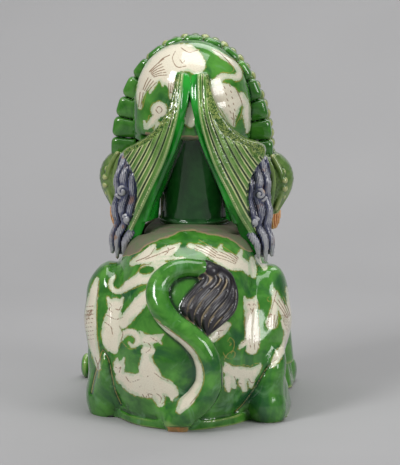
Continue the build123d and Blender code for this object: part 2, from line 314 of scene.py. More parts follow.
# ================================================================ where things are
head_low, head_high = box_mm("head_shell")
ring_low, ring_high = box_mm("scallop_ring")
HEAD_X = (head_low[0] + head_high[0]) / 2
PARTING_X = box_mm("mane_sheet_right")[0][0]  # the mane and the ears are set out from here
tube_low, tube_high = box_mm("neck_tube")
NECK = (tube_low + tube_high) / 2
NECK_RADIUS = (tube_high[0] - tube_low[0]) / 2
SHELF_Z = box_mm("body_shell")[1][2]
WALL = 9.0  # how thick the shoulder shelf is
RIM_Z = box_mm("base_rim")[1][2]


def on_back(u, v, lift):
    """The point of the body's back that is seen at (u, v) in the painter's plane, lifted off it."""
    start = TAIL_ROOT + (BENCH_X, 0, 0) + u * EYE_RIGHT + v * EYE_UP - 300 * EYE_FORWARD
    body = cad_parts["body_shell"]
    _, place, normal, _ = body.ray_cast(Vector(start * MM), Vector(EYE_FORWARD))
    return np.array(place + normal * lift * MM) / MM - (BENCH_X, 0, 0)


# ================================================================ tail and tuft
# the edges and the middles of the hind shanks, from the hock down to the heel, as (u, v) in the
# painter's plane
SHANK_EDGES = [
    [(-80, 86), (-84, 72), (-89, 55), (-92, 40)],
    [(-79, 86), (-73, 75), (-69.5, 58), (-66, 42), (-60, 28)],
    [(106, 76), (96, 67), (84, 47), (71, 29), (62, 20)],
]
SHANK_MIDDLES = [
    [(-81, 70), (-79, 50), (-76, 32), (-76, 18)],
    [(107, 64), (100, 50), (92, 34), (88, 20)],
]
SHANK_SWELL, SHANK_GROOVE = 2.6, 2.0
# the tail as (u, v, radius) in the painter's plane, from its root on the foot ring up the rump
TAIL_COURSE = [
    (0, 14, 11), (12, 25, 14), (24, 38, 15), (31.5, 53, 14.8), (31.5, 70, 14.2), (25.5, 87, 13.6),
    (12, 102, 12.6),
    (-3.5, 114.5, 12), (-14, 128, 12.4), (-18.5, 141, 12.6), (-17, 154, 12.2), (-8, 165.5, 11),
    (7, 171.5, 10),
    (24, 171, 9.5),
]
# each lock of the tuft in the painter's plane, from the root, over to the right and down to its tip
TUFT_LOCKS = [
    [(24, 170, 7), (29, 159, 6), (21, 149, 5.5), (12, 139, 5), (8, 129, 4.5), (12, 119, 1.2)],
    [(26, 171, 7.5), (38, 160, 6.5), (29, 148, 5.5), (19.5, 137, 5.5), (14.5, 126, 4.5),
     (17, 113.5, 1.2)],
    [(28, 171, 8), (45, 160, 6), (38, 146, 5.5), (27, 133, 5.5), (21.5, 122, 4.5), (24, 109, 1.2)],
    [(29, 171, 8), (50, 161, 6), (48, 145, 5.5), (37, 131.5, 5.5), (29, 118.5, 4.5),
     (31, 103, 1.2)],
    [(30, 172, 8), (52, 163, 5.5), (55, 146, 5.5), (48, 131, 5.5), (37, 118, 4.5), (32, 102, 1.2)],
    [(30, 173, 7), (49, 167, 5), (58, 149, 5), (56.5, 131, 5), (46, 117.5, 4.2), (34, 104, 1.4)],
]


def rump_path(course, sink):
    """A roll of clay laid on the rump along the course, sunk in by that part of its radius."""
    rows = flowing(course, 5)
    return np.array([[*on_back(u, v, radius * (1 - sink)), radius] for u, v, radius in rows])


tail_path = rump_path(TAIL_COURSE, 0.5)
tuft_cap = on_back(32, 168, 5)
tuft_paths = [rump_path(lock, 0.35) for lock in TUFT_LOCKS]


def raw_tail(block):
    d = strand(block, tail_path)
    # it spreads where it is pressed down at the root
    foot = egg(block, (-3, tail_path[0][1] + 7, 20), (17, 9, 9))
    d = melt(d, foot, 10)
    return np.maximum(d, RIM_Z - 0.5 - block.z + 0 * block.x)


def raw_tuft(block):
    """A smooth black cap at the tail's end, then thick locks with fine combed grooves."""
    d = egg(block, tuple(tuft_cap), (11.5, 9, 9))
    for path in tuft_paths:
        lock = strand(block, path)
        d = melt(d, lock, 0.9)
        for way in (-1, 1):
            beside = path.copy()
            beside[:, :3] += EYE_RIGHT * path[:, 3:] * 0.42 * way - EYE_FORWARD * path[:, 3:] * 0.86
            beside[:, 3] = np.minimum(0.3, path[:, 3] * 0.2)
            d = carve(d, strand(block, beside[9:]), 1.6)
    return d


# ================================================================ body, legs and feet
def toe_grooves(block, d, node, toes, depth=3.2):
    """Grooves over the front of a foot, which part the toes."""
    low, high = box_mm(node)
    pitch = (high[0] - low[0]) / toes
    for number in range(1, toes):
        x = low[0] + number * pitch
        cut = np.sqrt((block.x - x) ** 2 + (block.z - high[2] - 1.5) ** 2 * 0.25) - depth
        cut = np.maximum(cut, (high[1] - 30) - block.y)
        d = carve(d, cut + 0 * d, 2.5)
    return d


def raw_foot(node):
    def raw(block):
        low, high = box_mm(node)
        side = 1 if node.endswith("right") else -1
        d = cad_distance(node, block) + 3 * smooth_ramp(block.z, 60, 82)
        heel_x = (low[0] + high[0]) / 2 - side * 1.5
        heel = egg(block, (heel_x, low[1] + 17, 16), (17.5, 19, 17.5))
        d = melt(d, heel, 5)
        d = toe_grooves(block, d, node, 4)
        return np.maximum(d, -block.z + 0 * d)
    return raw


def raw_paw(node):
    def raw(block):
        low, high = box_mm(node)
        spread = -8.0 if node.endswith("left") else 0.0
        d = cad_distance(node, block) + 1.2
        low, high = low + (spread, 0, 0), high + (spread, 0, 0)
        width = high[0] - low[0]
        for number in range(4):
            x = low[0] + width * (number + 0.5) / 4
            toe = egg(block, (x, high[1] - 13, 12.5), (width / 8 + 0.6, 14, 13.5))
            d = melt(d, toe, 3)
            claw = strand(block, np.array([
                (x, high[1] - 3, 13, 3.0),
                (x, high[1] + 0.5, 7, 2.4),
                (x, high[1] - 0.5, 2.5, 1.0),
            ]))
            d = melt(d, claw, 0.8)
        return np.maximum(d, -block.z + 0 * d)
    return raw


def raw_haunch(node):
    def raw(block):
        low, high = box_mm(node)
        side = 1 if node.endswith("right") else -1
        outer = high[0] if side > 0 else low[0]
        d = cad_distance(node, block, FAR_REACH)
        knee = egg(block, (outer - side * 24, -12, high[2] - 24), (18, 25, 23))
        d = melt(d, knee, 10)
        d = melt(d, egg(block, (side * 80, -40, 56), (22, 30, 66)), 16)
        outside = smooth_ramp(side * block.x, 84, 100)
        if side < 0:
            waist = 8 * bell(block.z, 55, 30) + 7 * smooth_ramp(block.z, 125, 165)
        else:
            waist = 4 * bell(block.z, 60, 22) - 3 * bell(block.z, 110, 25)
        return np.maximum(d + outside * waist + clay_wobble(block, 26, 0.5), FLOOR_GAP - block.z)
    return raw


def raw_foreleg(node):
    def raw(block):
        return cad_distance(node, block) + 1.5 + clay_wobble(block, 20, 0.5)
    return raw


def raw_body(block):
    """The hollow body. Its shoulder shelf falls away to both sides of the neck."""
    d = cad_distance("body_shell", block, FAR_REACH) + clay_wobble(block, 30, 0.7)
    # the rump tucks under above the foot ring
    tuck = 9 * (1 - np.clip((block.z - RIM_Z) / 30, 0, 1)) ** 2
    under = (np.hypot(block.x / (86 - tuck), (block.y + 14) / (113 - tuck)) - 1) * 95
    above = 60 * smooth_ramp(block.z, RIM_Z + 18, RIM_Z + 45) + 60 * smooth_ramp(block.y, 30, 60)
    d = carve(d, -under + above, 4)
    top = SHELF_Z - 0.0036 * (block.x - NECK[0]) ** 2
    across = np.hypot((block.x - NECK[0]) / 54, (block.y - NECK[1] + 10) / 57)
    plate = np.maximum(top - WALL - block.z + 0 * across, (across - 1) * 50)
    return carve(np.minimum(d, plate), (top - block.z) * 0.95 + 0 * d, 7)


def raw_rim(block):
    d = cad_distance("base_rim", block)
    return d + 0.5 * np.sin(block.x / 13) * np.sin(block.y / 17)


def soft_low_down(block):
    """The haunches run into the rump below and part from it at the knees."""
    return 7 + 14 * smooth_ramp(block.z, 165, 120) + 0 * block.x


def soft_at_root(block):
    """The tail grows out of the rump at its root and stands clear of it above."""
    return 3.2 + 9 * smooth_ramp(block.z, 52, 22) + 0 * block.x


# (node, its own shape, how softly it melts into the pieces before it)
BODY_GROUP = [
    ("body_shell", raw_body, 0),
    ("haunch_left", raw_haunch("haunch_left"), soft_low_down),
    ("haunch_right", raw_haunch("haunch_right"), soft_low_down),
    ("foreleg_left", raw_foreleg("foreleg_left"), 12),
    ("foreleg_right", raw_foreleg("foreleg_right"), 12),
    ("base_rim", raw_rim, 4),
    ("hind_foot_left", raw_foot("hind_foot_left"), 11),
    ("hind_foot_right", raw_foot("hind_foot_right"), 11),
    ("front_paw_left", raw_paw("front_paw_left"), 6),
    ("front_paw_right", raw_paw("front_paw_right"), 6),
    ("tail", raw_tail, soft_at_root),
    ("tail_tuft", raw_tuft, 1.5),
]


def boxes_meet(node, block):
    low, high = box_mm(node)
    block_low = block.start * block.step
    block_high = (block.start + block.count) * block.step
    return bool(np.all(low - FAR_REACH < block_high) and np.all(high + FAR_REACH > block_low))


def squared_from(lines, across, up):
    """Squared distance from lines drawn in the painter's plane."""
    nearest = 1e6
    for line in lines:
        line = flowing(line, 2)
        for (u0, v0), (u1, v1) in zip(line[:-1], line[1:]):
            du, dv = u1 - u0, v1 - v0
            t = np.clip(((across - u0) * du + (up - v0) * dv) / (du * du + dv * dv), 0, 1)
            nearest = np.minimum(nearest, (across - u0 - t * du) ** 2 + (up - v0 - t * dv) ** 2)
    return nearest


def body_detail(block, whole):
    """Swells the shanks and presses a groove in along their edges, from behind."""
    behind = smooth_ramp(-block.y, 25, 42)
    across = block.x * EYE_RIGHT[0] + (block.y - TAIL_ROOT[1]) * EYE_RIGHT[1]
    up = block.x * EYE_UP[0] + (block.y - TAIL_ROOT[1]) * EYE_UP[1] + block.z * EYE_UP[2]
    swell = SHANK_SWELL * np.exp(-squared_from(SHANK_MIDDLES, across, up) / 100)
    groove = SHANK_GROOVE * np.exp(-squared_from(SHANK_EDGES, across, up) / 4)
    return (whole + (groove - swell) * behind).astype(np.float32)


def sculpt_group(group, steps, dress, detail=None):
    """Melts a group's pieces together and cuts them apart again at their seams."""
    for index, (node, _, _) in enumerate(group):
        block = block_round([node], steps.get(node, BODY_STEP))
        raw, whole = {}, None
        for other, (name, shape, softness) in enumerate(group):
            if not boxes_meet(name, block):
                continue
            raw[other] = shape(block) + 0 * block.full(0)
            width = softness(block) if callable(softness) else softness
            whole = raw[other] if whole is None else melt(whole, raw[other], width)
        if detail is not None:
            whole = detail(block, whole)
        mine = raw[index]
        before = [raw[i] for i in raw if i < index]
        after = [raw[i] for i in raw if i > index]
        field = whole
        if after:
            lead = (mine - np.minimum.reduce(after)) / 2
            field = np.maximum(field + 0.15 * smooth_ramp(lead, -0.3, 0.3), lead - LAP)
        if before:
            field = np.maximum(field, (mine - np.minimum.reduce(before)) / 2)
        dress(node, block, field, whole)


# ================================================================ head, seen from behind
def raw_tube(block):
    d = cad_distance("neck_tube", block)
    across = np.sqrt((block.x - NECK[0]) ** 2 + (block.y - NECK[1]) ** 2)
    # a thin roll of slip where the tube is set on the shoulders
    seam = np.sqrt((across - NECK_RADIUS) ** 2 + (block.z - SHELF_Z - 1.0) ** 2) - 1.8
    return melt(d, seam, 1.5)


def raw_dome(block):
    """The skull's dome, which runs down lower at its sides than at the back."""
    d = cad_distance("head_shell", block) + clay_wobble(block, 22, 0.35)
    d = np.minimum(d, egg(block, (HEAD_X, 31, 334), (60.5, 53, 60)))
    across = (np.hypot((block.x - HEAD_X) / 62.5, (block.y - 31) / 54) - 1) * 58
    skirt = np.maximum(np.abs(across + 4) - 4, np.abs(block.z - 289) - 14 + 0 * across)
    skirt = np.maximum(skirt, 2 - block.y + 0 * skirt)
    return melt(d, skirt, 3)


ARCH_CENTRE_Z = 270.0
ARCH_START, ARCH_END = math.radians(-4), math.radians(184)
LOBES, LOBE_ARCH = 15, (86.0, 124.0)
CURLS, CURL_ARCH, CURL_SIZE = 31, (80.5, 116.7), 5.6


def arch_run(size):
    """Turns round the arch, and how far along it each one is."""
    turns = np.linspace(ARCH_START, ARCH_END, 500)
    steps = np.hypot(np.diff(size[0] * np.cos(turns)), np.diff(size[1] * np.sin(turns)))
    return turns, np.concatenate([[0], np.cumsum(steps)])


def raw_lobes(block):
    """Fat smooth lobes, each a little cushion with a rounded outer edge."""
    low, high = ring_low, ring_high
    mid_y, half_y = (low[1] + high[1]) / 2, (high[1] - low[1]) / 2
    dx, dz = block.x - HEAD_X, block.z - ARCH_CENTRE_Z
    dx = dx + 3.0 * smooth_ramp(-dx, 35, 80)
    dz = dz - 3.0 * smooth_ramp(dz, 50, 105)
    turn = np.arctan2(dz / LOBE_ARCH[1], dx / LOBE_ARCH[0])
    turn = np.where(turn < -math.pi / 2, turn + 2 * math.pi, turn)
    size = np.maximum(np.hypot(dx / LOBE_ARCH[0], dz / LOBE_ARCH[1]), 0.05)
    # turned again so that the gaps between the lobes stand square to the arch
    slope = np.hypot(np.cos(turn) / LOBE_ARCH[0], np.sin(turn) / LOBE_ARCH[1])
    out = (size - 1) / slope
    square = np.hypot(LOBE_ARCH[1] * np.cos(turn), LOBE_ARCH[0] * np.sin(turn))
    turn = np.arctan2(
        dz / (LOBE_ARCH[1] + out * LOBE_ARCH[0] / square),
        dx / (LOBE_ARCH[0] + out * LOBE_ARCH[1] / square)
    )
    turn = np.where(turn < -math.pi / 2, turn + 2 * math.pi, turn)
    turns, run = arch_run(LOBE_ARCH)
    pitch = run[-1] / LOBES
    place = np.interp(turn, turns, run) / pitch
    number = np.clip(np.floor(place), 0, LOBES - 1)
    along = (place - number - 0.5) * pitch * np.clip(size, 0.5, 1.2)
    half = pitch / 2 * np.clip(size, 0.5, 1.2)
    corner = 6.0
    sideways = np.clip(np.abs(along) - (half - 0.35 - corner), 0, None)
    outward = np.clip(out + corner, 0, None)
    plan = np.maximum(np.hypot(sideways, outward) - corner, -26 - out)
    # the turns beyond the last lobes
    plan = np.maximum(plan, np.maximum(turn - ARCH_END, ARCH_START - turn) * 80)
    cushion = 1 - 0.30 * (along / half) ** 4 - 0.30 * np.clip((out + 9) / 9, 0, 1) ** 2
    thick = np.abs(block.y - mid_y) - half_y * cushion
    return (-melt(-plan - 0 * thick, -thick - 0 * plan, 3.5) * 0.9).astype(np.float32)


# The mane sheets, as lines up each sheet: (height, distance out from the parting)
SHEET_OPENING = [(165, 68), (183, 56), (222, 41.5), (262, 25.5), (281, 17.5), (303, 9.5),
                 (326, 4.2), (338, 1.6),
                 (350, 0.3), (372, 0.2)]
SHEET_FRONT = [(165, 73), (187, 67), (212, 55.5), (242, 42), (270, 29), (296, 19.5), (326, 12),
               (348, 9.5),
               (372, 8)]
SHEET_OUTER = {
    1: [(165, 74), (176, 75), (190, 73), (205, 66), (225, 62), (245, 62), (265, 70), (277, 79),
        (287, 79), (293, 72), (298, 61), (307, 49.5), (320, 39.5), (336, 29.5), (353, 22),
        (372, 17.5)],
    -1: [(165, 74), (176, 76), (190, 73), (205, 64), (225, 58), (245, 57), (265, 64), (276, 72),
         (283, 71), (290, 60), (300, 46), (311, 35), (320, 28.5), (331, 22.5), (353, 17.5),
         (372, 12.5)],
}
SHEET_PITCH = [(165, 7.6), (210, 9.4), (250, 9.2), (290, 7.6), (330, 5.4), (372, 4.4)]
SHEET_STIPPLE = {1: 12.0, -1: 5.0}  # how wide the stippled outer border is
SHEET_HALF_THICK = 6.5
WALL_REACH = 40.0
SHEET_BOTTOM, SHEET_TOP = 168.0, 367.0


def along_height(line, z):
    """The line's distance out at each height, run smoothly through its points."""
    height, value = flowing(line, 5).T
    return np.interp(z, height, value).astype(np.float32)


def sheet_middle_y(u, z):
    """The sheet lies over the dome at its top, then hangs, and its outer edge turns forward."""
    over_dome = np.clip(z - 308, 0, None) ** 2 * 0.0068
    turn_low = 0.003 * np.clip(u - 8, 0, None) ** 2 * smooth_ramp(z, 230, 190)
    return -31.5 + over_dome + turn_low + 0.0075 * np.clip(u - 20, 0, None) ** 2


def sheet_ridge_place(u, z):
    """Counts the combed ridges outward from the sheet's pale inner border."""
    return (u - along_height(SHEET_FRONT, z)) / along_height(SHEET_PITCH, z)


def stippled_part(side, u, z):
    """1 on the outer border with its stipple, 0 on the ridges."""
    inner = along_height(SHEET_OUTER[side], z) - SHEET_STIPPLE[side] * smooth_ramp(z, 372, 300) - 2
    return smooth_ramp(z, 268, 290) * smooth_ramp(u - inner, -1.5, 1.5)


def raw_sheet(side):
    def raw(block):
        u = side * (block.x - PARTING_X)
        z = block.z
        opening, front = along_height(SHEET_OPENING, z), along_height(SHEET_FRONT, z)
        outer = along_height(SHEET_OUTER[side], z)
        middle = sheet_middle_y(u, z)
        bevel = np.clip((front - u) / np.maximum(front - opening, 0.5), 0, 1)
        ridge_place = sheet_ridge_place(u, z)
        fraction = ridge_place - np.floor(ridge_place)
        ridge = np.sqrt(np.clip(1.0 - (2 * fraction - 1) ** 2, 0.0, 1)) - 0.35 * bell(fraction,
                                                                                      0.66, 0.06)
        depth = 2.6 * smooth_ramp(along_height(SHEET_PITCH, z), 2.5, 7.5) + 0.6
        ridge_height = depth * ridge * smooth_ramp(ridge_place, -0.05, 0.15)
        stipple = 0.55 * np.sin(u * 1.7 + 2 * np.sin(z * 0.8)) * np.sin(z * 1.5 + np.sin(u * 1.2))
        border = 1.8 * bell(u, front, 1.5)
        outward = stippled_part(side, u, z)
        lift = ridge_height * (1 - outward) + (1.0 + stipple) * outward + border
        deep = 0.85 - 0.77 * smooth_ramp(z, 300, 345)
        near_face = middle - SHEET_HALF_THICK - lift + bevel**1.3 * 2 * SHEET_HALF_THICK * deep
        far_face = middle + SHEET_HALF_THICK
        d = np.maximum(near_face - block.y, block.y - far_face)
        d = carve(d, outer - u + 0 * block.y, 3.0)
        d = carve(d, u - opening + 0 * block.y, 2.0)
        d = carve(d, np.minimum(SHEET_TOP - z, z - SHEET_BOTTOM) + 0 * d, 2.0)
        # the inner wall runs back from the opening to the neck
        back = np.clip((block.y - middle) / WALL_REACH, 0, 1)
        wall_u = opening + 2.5 + back * (np.minimum(opening - 4, NECK_RADIUS - 2) - opening - 2.5)
        plate = np.abs(u - wall_u) - 2.6
        plate = np.maximum(plate, np.maximum(middle - block.y, block.y - middle - WALL_REACH))
        plate = np.maximum(plate, np.maximum(z - 318, 205 - z) + 0 * plate)
        d = melt(d, plate, 3.0)
        return (d * 0.85).astype(np.float32)
    return raw


# blue locks: rows of (out, height, forward, radius), from the ear down
LOCK_STRANDS = [
    [(60, 276, 8, 3.5), (57, 262, -2, 5.5), (63, 247, -8, 5.5), (61, 230, -10, 5.5),
     (65, 212, -11, 5.5),
     (63, 196, -12, 5), (71, 181, -12, 4), (73, 166, -10, 1.5)],
    [(66, 277, 10, 3.5), (66, 264, 0, 5.5), (72, 250, -5, 5.5), (70, 234, -6, 5.5),
     (74, 217, -6, 5.5),
     (71, 201, -7, 5), (79, 186, -8, 4), (80, 163, -6, 2)],
    [(72, 274, 14, 3.5), (74, 262, 6, 5), (80, 246, 3, 5), (78, 231, 2, 5.5), (82, 214, 0, 5.5),
     (79, 199, 0, 5), (85, 184, -1, 4.5), (86, 168, 0, 2.4)],
    [(64, 270, 16, 5), (64, 250, 12, 7), (66, 228, 8, 8), (68, 206, 4, 8), (72, 184, 0, 6),
     (76, 168, -2, 3)],
    [(74, 266, 20, 5), (76, 248, 16, 7), (77, 228, 13, 7), (78, 206, 10, 7), (80, 186, 6, 5),
     (82, 170, 4, 3)],
]
LOCK_CURLS = [((62, 262, -7), 7.5, 1), ((74, 236, -10), 8.0, -1), ((68, 206, -15), 5.5, 1)]


def lock_path(rows, side, per_leg=5):
    return np.array([(PARTING_X + side * u, y, z, r) for u, z, y, r in flowing(rows, per_leg)])


def curl_path(centre, size, turn, side):
    """A flat spiral of clay that winds in to a bead."""
    path = []
    for step in range(22):
        part = step / 21
        angle = turn * (0.6 + part * 3.1 * math.pi)
        reach = size * (1 - 0.92 * part)
        u = centre[0] + reach * math.cos(angle)
        z = centre[1] + reach * math.sin(angle)
        path.append((PARTING_X + side * u, centre[2] + 1.5 - 3.0 * part, z, 2.0 + 0.5 * part))
    return np.array(path)


def raw_locks(side):
    def raw(block):
        d = block.full(1e3)
        for rows in LOCK_STRANDS:
            d = melt(d, strand(block, lock_path(rows, side)), 1.2)
        # fine combed lines along the fall of the hair
        u, z = side * (block.x - PARTING_X), block.z
        comb = np.sin(2.6 * (u + 0.5 * block.y + 3.0 * np.sin(z / 9.0)))
        d = d + 0.38 * comb
        for centre, size, turn in LOCK_CURLS:
            d = melt(d, strand(block, curl_path(centre, size, turn, side)), 0.7)
        return d
    return raw


# the ear's pale rolled rim: (out, height, forward, radius)
EAR_RIM = [(47, 292, 22, 2), (58, 285, 20, 2.6), (70, 276, 20, 3.2), (81, 262, 22, 3.6),
           (85, 243, 24, 3.6),
           (83, 222, 24, 3.2), (80, 204, 19, 2.6), (78, 192, 15, 2.2), (77, 183, 12, 1.4)]
EAR_FOLDS = [
    [(84, 268, 34, 3.0), (93, 250, 33, 3.4), (94, 232, 33, 3.2), (88, 212, 30, 2.4)],
    [(87, 266, 46, 3.0), (99, 247, 46, 3.4), (98, 228, 44, 3.0), (88, 207, 38, 2.2)],
]


def raw_ear(side):
    node = "ear_left" if side < 0 else "ear_right"

    def raw(block):
        d = cad_distance(node, block)
        u, z = side * (block.x - PARTING_X), block.z
        d = d + 0.35 * np.sin(1.5 * u + z * 0.3) * np.sin(1.1 * z)
        d = melt(d, strand(block, lock_path(EAR_RIM, side)), 1.5)
        for rows in EAR_FOLDS:
            d = melt(d, strand(block, lock_path(rows, side)), 1.5)
        return d
    return raw


def raw_beads(block):
    return cad_distance("ear_beads", block) - 0.4


TUFT_TUCK = 6.0


def raw_tufts(block):
    """Little orange flames below the ears; the right one is tucked further in."""
    d = cad_distance("cheek_tufts", block) + 1.2
    d = np.where(block.x > PARTING_X, np.roll(d, -round(TUFT_TUCK / block.step), axis=0), d)
    comb = np.sin(1.5 * (np.abs(block.x - PARTING_X) + block.y * 0.8 + 2.5 * np.sin(block.z / 5.0)))
    return d + 0.9 * comb


def raw_curls(block):
    """The textured curls beyond the lobes: each a snail with its groove."""
    low, high = box_mm("curl_ring")
    d = block.full(1e3)
    middle = (high[1] + low[1]) / 2
    turns, run = arch_run(CURL_ARCH)
    for number in range(CURLS):
        turn = np.interp((number + 0.5) * run[-1] / CURLS, run, turns)
        x = HEAD_X + CURL_ARCH[0] * math.cos(turn)
        z = ARCH_CENTRE_Z + CURL_ARCH[1] * math.sin(turn) + 3.0 * smooth_ramp(math.sin(turn), 0.5,
                                                                              0.95)
        dx, dz = block.x - x, block.z - z
        r = np.sqrt(dx**2 + dz**2)
        spiral = np.sin(np.arctan2(dz, dx) * (1 if number % 2 else -1) + r * 1.9)
        half = 8.0 * np.sqrt(np.clip(1.05 - (r / (CURL_SIZE + 1.2)) ** 2, 0.02, None))
        snail = np.maximum(np.abs(block.y - middle) - half, r - CURL_SIZE - 0.7) + 0.5 * spiral
        d = melt(d, snail.astype(np.float32) * 0.9, 0.6)
    size = np.hypot((block.x - HEAD_X) / CURL_ARCH[0], (block.z - ARCH_CENTRE_Z) / CURL_ARCH[1])
    band = np.maximum(np.abs(size - 0.985) * 90 - 3.6, np.abs(block.y - middle) - 6.5)
    return np.minimum(d, np.maximum(band, ARCH_CENTRE_Z - block.z - 6 + 0 * band))


# ================================================================ the face, unseen in the photograph
NOSE_LOW, NOSE_HIGH = box_mm("nose")
EYE_LOW, EYE_HIGH = box_mm("eyes")
EYE_RADIUS = (EYE_HIGH[2] - EYE_LOW[2]) / 2
EYE_OUT = (EYE_HIGH[0] - EYE_LOW[0]) / 2 - EYE_RADIUS
EYE_Y, EYE_Z = EYE_HIGH[1] - EYE_RADIUS, (EYE_LOW[2] + EYE_HIGH[2]) / 2


def face_path(rows, side):
    return flowing([(HEAD_X + side * x, y, z, r) for x, y, z, r in rows], 5)


def raw_mask(block):
    """Muzzle, bulging cheeks and brow, heavy eyelids, rolled lips and whisker dots."""
    d = cad_distance("face_mask", block) + clay_wobble(block, 24, 0.6)
    for side in (-1, 1):
        d = melt(d, egg(block, (HEAD_X + side * 47, 84, 290), (17, 20, 20)), 9)
        d = melt(d, egg(block, (HEAD_X + side * 24, 122, 284), (19, 15, 14)), 7)
        lid = face_path([(15, 104, 316, 1.6), (20, 109, 330, 3.2), (31, 109, 336, 3.6),
                         (42, 104, 331, 3.2),
                         (47, 96, 320, 2.0)], side)
        d = melt(d, strand(block, lid), 3)
        bag = face_path([(16, 106, 312, 1.4), (24, 110, 303, 2.4), (35, 107, 302, 2.4),
                         (45, 98, 309, 1.4)], side)
        d = melt(d, strand(block, bag), 3)
        lip = face_path([(4, 135, 272, 2.6), (16, 134, 270, 3.2), (29, 125, 269, 3.4),
                         (40, 108, 270, 3.2),
                         (46, 90, 273, 2.4)], side)
        d = melt(d, strand(block, lip), 3)
        for x, y, z in ((18, 136, 286), (27, 131, 282), (24, 134, 292)):
            d = melt(d, egg(block, (HEAD_X + side * x, y, z), (2.2, 2.6, 2.2)), 1)
        for low in (0, 7):
            fold = face_path([(9, 128 - low, 306 + low, 1.3), (16, 120 - low, 310 + low, 1.5),
                              (24, 114 - low, 300 + low, 1.0)], side)
            d = carve(d, strand(block, fold), 2)
    bridge = face_path([(0, 130, 303, 9), (0, 112, 316, 11), (0, 96, 334, 12), (0, 84, 350, 8)], 1)
    return melt(d, strand(block, bridge), 7)


def raw_jaw(block):
    d = cad_distance("lower_jaw", block) + clay_wobble(block, 20, 0.4)
    lip = flowing([(HEAD_X + x, y, 250, 2.4) for x, y in
                   ((-34, 92), (-32, 112), (-20, 126), (0, 131), (20, 126), (32, 112), (34, 92))],
                  5)
    return melt(d, strand(block, lip), 3)


def raw_nose(block):
    d = cad_distance("nose", block) + clay_wobble(block, 12, 0.3)
    middle = (NOSE_LOW[2] + NOSE_HIGH[2]) / 2
    for side in (-1, 1):
        wing = egg(block, (HEAD_X + side * 13, NOSE_HIGH[1] - 9, middle - 1), (8.5, 9, 8))
        d = melt(d, wing, 4)
    for side in (-1, 1):
        hole = egg(block, (HEAD_X + side * 11, NOSE_HIGH[1] + 1, middle - 3), (3.8, 7, 3.2))
        d = carve(d, hole, 2)
    return d


def raw_eyes(block):
    return cad_distance("eyes", block) + 0.2


def raw_brows(block):
    """Each eyebrow is three tight curls in a row."""
    d = cad_distance("eyebrows", block) + 1.2
    for side in (-1, 1):
        for x, y, z, size in ((14, 98, 343, 6.5), (29, 100, 344, 7.5), (44, 96, 341, 6.0)):
            dx, dz = (block.x - HEAD_X) * side - x, block.z - z
            r = np.sqrt(dx**2 + dz**2)
            curl = egg(block, (HEAD_X + side * x, y, z), (size, 9, size))
            spiral = np.sin(np.arctan2(dz, dx) + r * 1.7)
            d = melt(d, curl + 0.7 * spiral * smooth_ramp(r, size + 2, size - 1), 1.5)
    return d


def raw_tongue(block):
    low, high = box_mm("tongue")
    d = cad_distance("tongue", block) + 0.3
    d = melt(d, egg(block, (HEAD_X, high[1] - 15, high[2] - 3), (11, 16, 6)), 4)
    crease = np.hypot(block.x - HEAD_X, block.z - high[2] - 4.2) - 2.6
    return carve(d, crease + 0 * d, 2.5)


def raw_teeth(node):
    def raw(block):
        return cad_distance(node, block) - 0.2
    return raw


def raw_beard(block):
    """Combed locks hanging from the chin."""
    d = cad_distance("chin_beard", block) + 0.8
    turn = np.arctan2(block.y - 92, block.x - HEAD_X)
    comb = np.abs(np.sin(6.5 * turn + 0.05 * (block.z - 190) + 0.5 * np.sin(block.z / 9)))
    fine = np.sin(26 * turn + 0.1 * block.z)
    return d + 2.0 - 3.0 * comb + 0.25 * fine


FACE_GROUP = [
    ("face_mask", raw_mask, 0),
    ("lower_jaw", raw_jaw, 2),
    ("nose", raw_nose, 2.5),
    ("eyes", raw_eyes, 0.6),
    ("eyebrows", raw_brows, 1.2),
    ("tongue", raw_tongue, 1.5),
    ("upper_teeth", raw_teeth("upper_teeth"), 0.8),
    ("lower_teeth", raw_teeth("lower_teeth"), 0.8),
    ("chin_beard", raw_beard, 1.5),
]

# ================================================================ painting
UNPAINTED = 99.0  # the distance where nothing is painted near
EDGE_REACH = 9.0  # how far from an edge of bare clay its distance is kept


